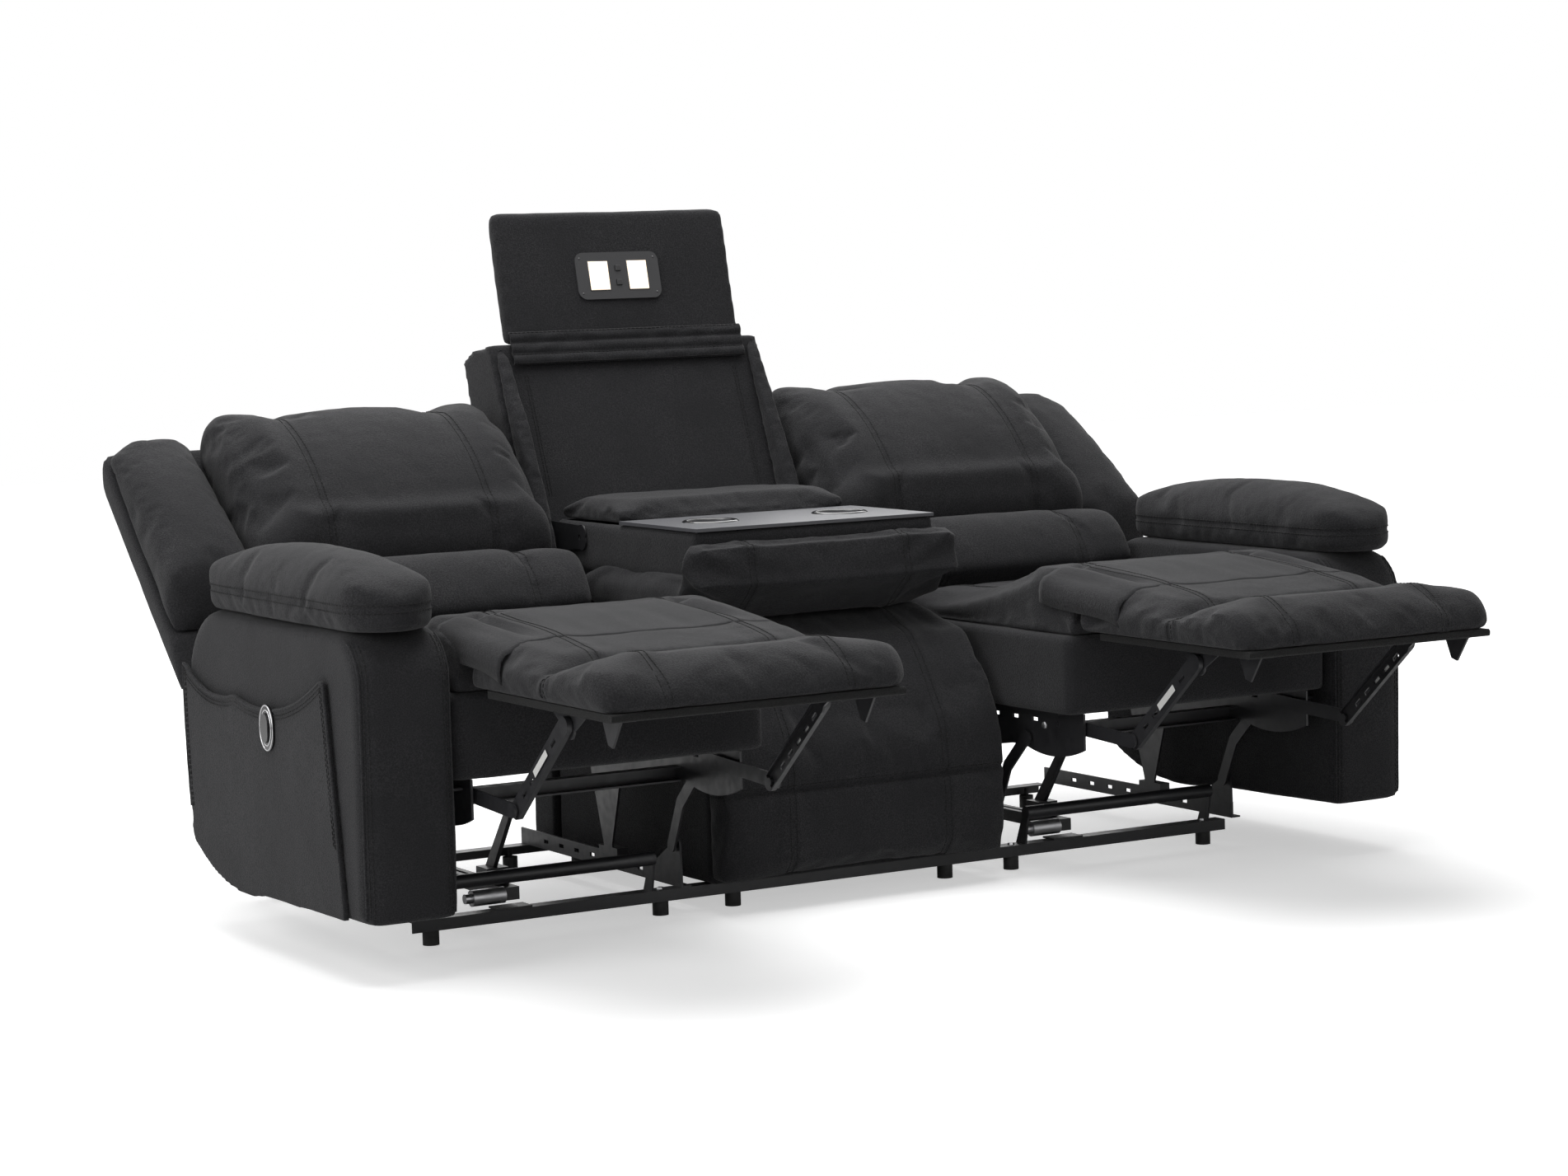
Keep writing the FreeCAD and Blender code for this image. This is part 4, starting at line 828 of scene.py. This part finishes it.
class SOFA_OT_steelwork(bpy.types.Operator):
    """Paints the rails, plates, links, drives and feet, and adds rivets and bolts"""

    bl_idname = "sofa.steelwork"
    bl_label = "Steelwork"

    def execute(self, context):
        fittings = context.scene.sofa_fittings
        for node, material in NODE_FINISH.items():
            paint(frame["nodes"][node], material)
        for side in SIDES:
            for kind, material in SIDE_FINISH.items():
                paint(frame["nodes"][f"{side}_{kind}"], material)
            self.rivets(side, fittings)
        self.rail_bolts(fittings)
        return {"FINISHED"}

    def rivets(self, side, fittings):
        for kind, names in (
            ("seat_frame", ("lower_link_hinge", "back_hinge")),
            ("footrest_brackets", ("upper_link_hinge",)),
        ):
            node = f"{side}_{kind}"
            places = [joint_place(f"{side}_{name}") for name in names]
            low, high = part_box(node)
            bm = bmesh.new()
            for place in places:
                for x, way in ((low.x, -1), (high.x, 1)):
                    disc(bm, Vector((x, place.y, place.z)), Vector((way, 0, 0)), fittings.rivet, RIVET_HEIGHT)
            add_piece(f"{node}_rivets", bm, "plated", body_of(node))

    def rail_bolts(self, fittings):
        low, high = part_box("front_rail")
        bm = bmesh.new()
        for x in FOOT_PLACES:
            spot = Vector((x, (low.y + high.y) / 2, high.z))
            disc(bm, spot, Vector((0, 0, 1)), fittings.bolt, BOLT_HEIGHT, segments=6)
        add_piece("front_rail_bolts", bm, "plated", "base", smooth=False)


class SOFA_OT_console_trim(bpy.types.Operator):
    """Adds gloss black rings round the cup holders"""

    bl_idname = "sofa.console_trim"
    bl_label = "Console trim"

    def execute(self, context):
        cups = [o for o in frame["record"]["physics"]["openings"] if o["name"].endswith("_cup")]
        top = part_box("console_tray")[1].z
        for cup in cups:
            low, high = (Vector(corner) for corner in cup["box_m"])
            centre = Vector(((low.x + high.x) / 2, (low.y + high.y) / 2, top))
            radius = 0.045
            bm = bmesh.new()
            section = [
                (radius - 0.0015, 0.0), (radius - 0.001, 0.002), (radius + 0.003, 0.003),
                (radius + 0.006, 0.001),
            ]
            section.append((radius + 0.0065, 0.0))
            ring = [bm.verts.new((r, 0, z)) for r, z in section]
            edges = [bm.edges.new(pair) for pair in zip(ring, ring[1:])]
            bmesh.ops.spin(
                bm,
                geom=ring + edges,
                cent=(0, 0, 0),
                axis=(0, 0, 1),
                angle=math.tau,
                steps=64,
                use_merge=True,
            )
            bmesh.ops.remove_doubles(bm, verts=bm.verts, dist=1e-5)
            bmesh.ops.recalc_face_normals(bm, faces=bm.faces)
            bmesh.ops.translate(bm, vec=centre, verts=bm.verts)
            add_piece(f"{cup['name']}_ring", bm, "gloss_black", "console")
        return {"FINISHED"}


def ellipse(centre, half_y, half_z, steps=48):
    """Points round an upright ellipse facing along x."""
    turns = [math.tau * i / steps for i in range(steps + 1)]
    return [centre + Vector((0, half_y * math.cos(t), half_z * math.sin(t))) for t in turns]


def height_at(tree, x, y):
    """The top of a cushion under a point, or None where there is none."""
    hit = tree.ray_cast(Vector((x, y, 2)), Vector((0, 0, -1)))
    return None if hit[0] is None else hit[0].z


def tree_of(obj):
    return BVHTree.FromPolygons([v.co for v in obj.data.vertices], [p.vertices for p in obj.data.polygons])


class SOFA_OT_footrest_covers(bpy.types.Operator):
    """Carries the fabric of each seat over on to its footrest in one stretched sheet"""

    bl_idname = "sofa.footrest_covers"
    bl_label = "Footrest covers"

    def execute(self, context):
        settings = context.scene.sofa_upholstery
        for side in SIDES:
            self.cover(side, settings)
        return {"FINISHED"}

    def cover(self, side, settings):
        seat = tree_of(bpy.data.objects[f"{side}_seat_cushion_cover"])
        pad = tree_of(bpy.data.objects[f"{side}_footrest_pad_cover"])
        low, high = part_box(f"{side}_footrest_pad")
        hinge = joint_place(f"{side}_footrest_hinge")
        rear = hinge.y + 0.15
        front = hinge.y - 0.09
        step = 0.012
        columns = 44
        rows = 20
        inset = 0.026
        bm = bmesh.new()
        grid = []
        for i in range(columns + 1):
            x = low.x + inset + (high.x - low.x - 2 * inset) * i / columns
            a = height_at(seat, x, rear)
            b = height_at(pad, x, front)
            slope_a = (a - height_at(seat, x, rear + step)) / step
            slope_b = (height_at(pad, x, front - step) - b) / step
            reach = (rear - front) / 3
            z = (a, a + slope_a * reach, b - slope_b * reach, b)
            line = []
            for j in range(rows + 1):
                t = j / rows
                u = 1 - t
                height = u**3 * z[0] + 3 * u * u * t * z[1] + 3 * u * t * t * z[2] + t**3 * z[3]
                edge = 0.0022 * math.sin(math.pi * t) ** 0.3 + 0.0006 * noise.noise(
                    Vector((x * 14, t * 4, 1)),
                )
                line.append(Vector((x, rear + (front - rear) * t, height + edge)))
            grid.append(line)
        for way, line in ((-1, grid[0]), (1, grid[-1])):
            drops = []
            for out, down in ((0.013, 0.005), (0.021, 0.015), (0.024, 0.03), (0.023, 0.05)):
                drops.append([p + Vector((way * out, 0, -down)) for p in line])
            grid = list(reversed(drops)) + grid if way < 0 else grid + drops
        rows_of = [[bm.verts.new(p) for p in line] for line in grid]
        for a, b in zip(rows_of, rows_of[1:]):
            for j in range(rows):
                bm.faces.new((a[j], b[j], b[j + 1], a[j + 1]))
        bmesh.ops.recalc_face_normals(bm, faces=bm.faces)
        bmesh.ops.solidify(bm, geom=bm.faces[:], thickness=0.0015)
        obj = object_from(f"{side}_footrest_cover", bm)
        obj.data.shade_smooth()
        paint(obj, "fabric")
        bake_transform(obj)
        centre = (low.x + high.x) / 2
        runs = []
        for at in (centre - SEAM_OFFSET, centre + SEAM_OFFSET):
            for offset in (-0.006, 0.006):
                runs += cut_line(obj, 0, at + offset, lambda place, face: face.z > 0.5)
        lines = stitches(f"{side}_footrest_cover_stitches", runs, settings, None)
        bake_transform(lines)


class SOFA_OT_switches(bpy.types.Operator):
    """Adds the bright rims of the recline switches"""

    bl_idname = "sofa.switches"
    bl_label = "Switch rims"

    def execute(self, context):
        for side in SIDES:
            low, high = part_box(f"{side}_switch_bezel")
            face = low.x if side == "left" else high.x
            centre = Vector((face, (low.y + high.y) / 2, (low.z + high.z) / 2))
            half = (high - low) / 2
            rims = [ellipse(centre, half.y - inset, half.z - inset) for inset in (0.0015, 0.009)]
            tube_piece(
                f"{side}_switch_rims", rims, 0.0011, "chrome", f"{side}_carriage", sides=2,
            )
        return {"FINISHED"}


class SOFA_OT_arm_seams(bpy.types.Operator):
    """Sews the fronts of the arms and the top edges of the side panels"""

    bl_idname = "sofa.arm_seams"
    bl_label = "Arm seams"

    def execute(self, context):
        settings = context.scene.sofa_upholstery
        for side in SIDES:
            sign = -1 if side == "left" else 1
            body = f"{side}_carriage"
            cover = bpy.data.objects[f"{side}_arm_body_cover"]
            low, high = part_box(f"{side}_arm_body")
            runs = []
            cords = []
            for edge, inward in ((low.x, 1), (high.x, -1)):
                for offset in (0.011, 0.017):
                    runs += cut_line(cover, 0, edge + inward * offset, lambda place, face: face.y < -0.4)
                cords += cut_line(cover, 0, edge + inward * 0.006, lambda place, face: face.y < -0.3)
            stitches(f"{side}_arm_front_stitches", runs, settings, body)
            lines = [[place for place, face in run] for run in cords]
            tube_piece(
                f"{side}_arm_front_piping", lines, settings.piping_radius * 0.7, "fabric", body,
            )
            self.panel_edge(side, sign, settings)
        return {"FINISHED"}

    def panel_edge(self, side, sign, settings):
        panel = bpy.data.objects[f"{side}_arm_side_panel_cover"]
        low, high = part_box(f"{side}_arm_side_panel")
        outer = low.x if sign < 0 else high.x
        middle = (low.x + high.x) / 2
        low_line = low.z + 0.12
        edge = cut_line(panel, 0, middle, lambda place, face: place.z > low_line)
        edge = [run for run in edge if max(p.y for p, _ in run) - min(p.y for p, _ in run) > 0.2]
        rows = []
        for run in edge:
            for inset in (0.008, 0.014):
                row = []
                for place, face in run:
                    inside = place - face * inset
                    row.append((Vector((outer, inside.y, inside.z)), Vector((sign, 0, 0))))
                rows.append(row)
        stitches(f"{side}_side_panel_stitches", rows, settings, f"{side}_carriage")
        cords = [[Vector((outer - sign * 0.002, p.y, p.z)) for p, _ in run] for run in edge]
        tube_piece(
            f"{side}_side_panel_piping",
            cords,
            settings.piping_radius,
            "fabric",
            f"{side}_carriage",
        )


class SOFA_OT_head(bpy.types.Operator):
    """Makes the folded hem between the head panel and its recess, the panel's seams and the lamp frames"""

    bl_idname = "sofa.head"
    bl_label = "Head panel trim"

    def execute(self, context):
        settings = context.scene.sofa_upholstery
        hinge = joint_place("head_hinge")
        lean = RECESS_UP
        up_panel = PANEL_UP
        forward = RECESS_OUT
        bottom = hinge - lean * 0.046 + forward * 0.003
        crease = hinge + forward * 0.0045
        top = hinge + up_panel * 0.02 + PANEL_OUT * 0.004
        low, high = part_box("head_panel")
        columns = 120
        rows = 26
        bm = bmesh.new()
        grid = []
        for j in range(rows + 1):
            t = j / rows
            if t < 0.7:
                middle = bottom.lerp(crease, t / 0.7)
            else:
                middle = crease.lerp(top, (t - 0.7) / 0.3)
            line = []
            for i in range(columns + 1):
                x = low.x + (high.x - low.x) * i / columns
                ridge = abs(math.sin(math.pi * t * 3)) ** 0.7
                pucker = noise.noise(Vector((x * 30, t * 2.2, 5.0)))
                swell = 0.0045 * ridge * (1 + 0.45 * pucker) + 0.0012 * pucker
                across = Vector((x - hinge.x, 0, 0))
                line.append(bm.verts.new(across + middle + forward * swell))
            grid.append(line)
        for a, b in zip(grid, grid[1:]):
            for i in range(columns):
                bm.faces.new((a[i], a[i + 1], b[i + 1], b[i]))
        places = [[(v.co.copy(), forward) for v in grid[j]] for j in range(rows + 1)]
        bmesh.ops.recalc_face_normals(bm, faces=bm.faces)
        bmesh.ops.solidify(bm, geom=bm.faces[:], thickness=0.0025)
        obj = object_from("head_hem", bm)
        obj.data.shade_smooth()
        paint(obj, "fabric")
        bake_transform(obj)
        third = rows // 3
        stitches("hem_lower_stitches", [places[1], places[third]], settings, "base")
        stitches("hem_upper_stitches", [places[rows - 1]], settings, "head")
        self.recess_seams(settings)
        self.lamps()
        return {"FINISHED"}

    def recess_seams(self, settings):
        cover = bpy.data.objects["mid_back_shell_cover"]
        low_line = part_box("console_lid")[1].z
        high_line = joint_place("head_hinge").z - 0.05
        runs = []
        for x in (-0.228, -0.222, 0.222, 0.228):
            runs += cut_line(
                cover, 0, x, lambda place, face: face.y < -0.5 and low_line < place.z < high_line,
            )
        stitches("recess_stitches", runs, settings, "base")

    def lamps(self):
        low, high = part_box("lamp_lenses")
        plate_low, plate_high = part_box("light_plate")
        up = PANEL_UP
        out = PANEL_OUT
        centre = (plate_low + plate_high) / 2
        frames = []
        half_z = (high.z - low.z) / 2 / PANEL_UP.z
        for x in (-LAMP_PLACE, LAMP_PLACE):
            middle = Vector((x, (low.y + high.y) / 2, (low.z + high.z) / 2)) + out * 0.001
            half_x = LAMP_HALF_WIDTH
            corners = [(-1, -1), (1, -1), (1, 1), (-1, 1)]
            frames.append([middle + Vector((a * half_x, 0, 0)) + up * (b * half_z) for a, b in corners])
        tube_piece("lamp_frames", frames, 0.0016, "gloss_black", "head", cyclic=True)
        bm = bmesh.new()
        half_plate = (plate_high.z - plate_low.z) / 2 / PANEL_UP.z
        for a in (-1, 1):
            for b in (-1, 1):
                middle = Vector((a * SCREW_PLACE, centre.y, centre.z))
                spot = middle + up * (b * (half_plate - SCREW_INSET))
                disc(bm, spot + out * 0.0015, out, 0.0024, 0.001, segments=12)
        add_piece("light_plate_screws", bm, "gloss_black", "head")


class SOFA_OT_labels(bpy.types.Operator):
    """Sticks the blank white patches on the upper footrest links"""

    bl_idname = "sofa.labels"
    bl_label = "Blank labels"

    def execute(self, context):
        for side in SIDES:
            low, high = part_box(f"{side}_upper_links")
            pivot = joint_place(f"{side}_upper_link_hinge")
            elbow = Vector((0, *ELBOW))
            along = (elbow - Vector((0, pivot.y, pivot.z))).normalized()
            start = Vector((0, pivot.y, pivot.z)) + along * LABEL_START
            end = start + along * LABEL_LENGTH
            bm = bmesh.new()
            across = Vector((0, -along.z, along.y)) * LABEL_HALF_WIDTH
            for face, way in ((low.x, -1), (high.x, 1)):
                x = Vector((face + way * 0.0003, 0, 0))
                corners = [start - across, start + across, end + across, end - across]
                made = bm.faces.new([bm.verts.new(corner + x) for corner in corners])
                made.normal_update()
                if made.normal.x * way < 0:
                    made.normal_flip()
            add_piece(f"{side}_link_labels", bm, "label", f"{side}_upper_links", smooth=False)
        return {"FINISHED"}


class SOFA_OT_stage(bpy.types.Operator):
    """Sets the floor, the soft lights and the photograph's camera"""

    bl_idname = "sofa.stage"
    bl_label = "Stage"

    def execute(self, context):
        stage = context.scene.sofa_stage
        self.floor(stage)
        self.world(stage)
        self.lights(stage)
        self.camera(stage)
        context.scene.view_settings.view_transform = "Standard"
        return {"FINISHED"}

    def floor(self, stage):
        bm = bmesh.new()
        bmesh.ops.create_grid(bm, x_segments=1, y_segments=1, size=14)
        obj = object_from("floor", bm)
        material, tree, shader = blank_material("Pale floor", roughness=0.9)
        shader.inputs["Base Color"].default_value = tuple(stage.floor)
        shader.inputs["Specular IOR Level"].default_value = 0.1
        path = tree.nodes.new("ShaderNodeLightPath")
        white = tree.nodes.new("ShaderNodeEmission")
        place = tree.nodes.new("ShaderNodeTexCoord")
        distance = tree.nodes.new("ShaderNodeVectorMath")
        distance.operation = "LENGTH"
        tree.links.new(place.outputs["Object"], distance.inputs[0])
        fade = tree.nodes.new("ShaderNodeMapRange")
        fade.inputs["From Min"].default_value = stage.shadow_reach
        fade.inputs["From Max"].default_value = stage.shadow_reach * 1.6
        fade.inputs["To Min"].default_value = stage.floor_lift
        fade.inputs["To Max"].default_value = 1.0
        tree.links.new(distance.outputs["Value"], fade.inputs["Value"])
        lift = tree.nodes.new("ShaderNodeMath")
        lift.operation = "MULTIPLY"
        tree.links.new(fade.outputs["Result"], lift.inputs[1])
        tree.links.new(path.outputs["Is Camera Ray"], lift.inputs[0])
        tree.links.new(lift.outputs["Value"], white.inputs["Strength"])
        both = tree.nodes.new("ShaderNodeAddShader")
        tree.links.new(shader.outputs["BSDF"], both.inputs[0])
        tree.links.new(white.outputs["Emission"], both.inputs[1])
        tree.links.new(both.outputs["Shader"], tree.nodes["Material Output"].inputs["Surface"])
        obj.data.materials.append(material)

    def world(self, stage):
        world = bpy.data.worlds.new("Studio")
        bpy.context.scene.world = world
        world.use_nodes = True
        tree = world.node_tree
        background = tree.nodes["Background"]
        background.inputs["Color"].default_value = (1, 1, 1, 1)
        path = tree.nodes.new("ShaderNodeLightPath")
        either = tree.nodes.new("ShaderNodeMath")
        either.operation = "MAXIMUM"
        tree.links.new(path.outputs["Is Camera Ray"], either.inputs[0])
        tree.links.new(path.outputs["Is Glossy Ray"], either.inputs[1])
        strength = tree.nodes.new("ShaderNodeMapRange")
        strength.inputs["To Min"].default_value = stage.world
        strength.inputs["To Max"].default_value = 1.0
        tree.links.new(either.outputs["Value"], strength.inputs["Value"])
        tree.links.new(strength.outputs["Result"], background.inputs["Strength"])

    def lights(self, stage):
        for name, place, size, power in (
            ("Top light", (-0.3, 0.4, 3.9), 3.6, stage.key_power),
            ("Side light", (-4.2, -0.6, 2.2), 2.6, stage.fill_power),
            ("Front light", (-1.6, -4.6, 2.4), 3.0, stage.fill_power * 0.3),
            ("Back light", (1.4, 3.4, 3.0), 3.0, stage.fill_power),
        ):
            lamp = bpy.data.lights.new(name, "AREA")
            lamp.shape = "SQUARE"
            lamp.size = size
            lamp.energy = power
            obj = bpy.data.objects.new(name, lamp)
            obj.location = place
            obj.rotation_euler = (Vector((0, 0, 0.5)) - Vector(place)).to_track_quat("-Z", "Y").to_euler()
            bpy.context.scene.collection.objects.link(obj)

    def camera(self, stage):
        data = bpy.data.cameras.new("Photo camera")
        data.sensor_width = 36.0
        data.lens = stage.lens
        obj = bpy.data.objects.new("Photo camera", data)
        place = Vector(stage.camera_place) + Vector((0, ARM_FRONT_Y, 0))
        turn = Vector(stage.camera_aim).to_track_quat("-Z", "Y").to_matrix().to_4x4()
        obj.matrix_world = Matrix.Translation(place) @ turn @ Matrix.Rotation(stage.camera_roll, 4, "Z")
        bpy.context.scene.collection.objects.link(obj)
        bpy.context.scene.camera = obj


class SOFA_PT_panel(bpy.types.Panel):
    bl_idname = "SOFA_PT_panel"
    bl_label = "Reclining sofa"
    bl_space_type = "VIEW_3D"
    bl_region_type = "UI"
    bl_category = "Sofa"

    def draw(self, context):
        for operator in OPERATORS:
            self.layout.operator(operator.bl_idname)
        for settings in (
            context.scene.sofa_upholstery, context.scene.sofa_fittings, context.scene.sofa_stage,
        ):
            box = self.layout.box()
            for name in settings.bl_rna.properties.keys():
                if name not in ("name", "rna_type"):
                    box.prop(settings, name)


OPERATORS = (
    SOFA_OT_cushions,
    SOFA_OT_covered_frames,
    SOFA_OT_footrest_covers,
    SOFA_OT_arm_seams,
    SOFA_OT_head,
    SOFA_OT_steelwork,
    SOFA_OT_labels,
    SOFA_OT_switches,
    SOFA_OT_console_trim,
    SOFA_OT_stage,
)
CLASSES = (UpholsterySettings, FittingSettings, StageSettings, *OPERATORS, SOFA_PT_panel)


def register():
    for cls in CLASSES:
        bpy.utils.register_class(cls)
    bpy.types.Scene.sofa_upholstery = bpy.props.PointerProperty(type=UpholsterySettings)
    bpy.types.Scene.sofa_fittings = bpy.props.PointerProperty(type=FittingSettings)
    bpy.types.Scene.sofa_stage = bpy.props.PointerProperty(type=StageSettings)


def unregister():
    del bpy.types.Scene.sofa_stage
    del bpy.types.Scene.sofa_fittings
    del bpy.types.Scene.sofa_upholstery
    for cls in reversed(CLASSES):
        bpy.utils.unregister_class(cls)


def main():
    register()
    scene = bpy.context.scene
    MATERIALS.update(make_materials(scene.sofa_upholstery, scene.sofa_fittings))
    bpy.ops.sofa.cushions()
    bpy.ops.sofa.covered_frames()
    bpy.ops.sofa.footrest_covers()
    bpy.ops.sofa.arm_seams()
    bpy.ops.sofa.head()
    bpy.ops.sofa.steelwork()
    bpy.ops.sofa.labels()
    bpy.ops.sofa.switches()
    bpy.ops.sofa.console_trim()
    bpy.ops.sofa.stage()


if __name__ == "__main__":
    main()
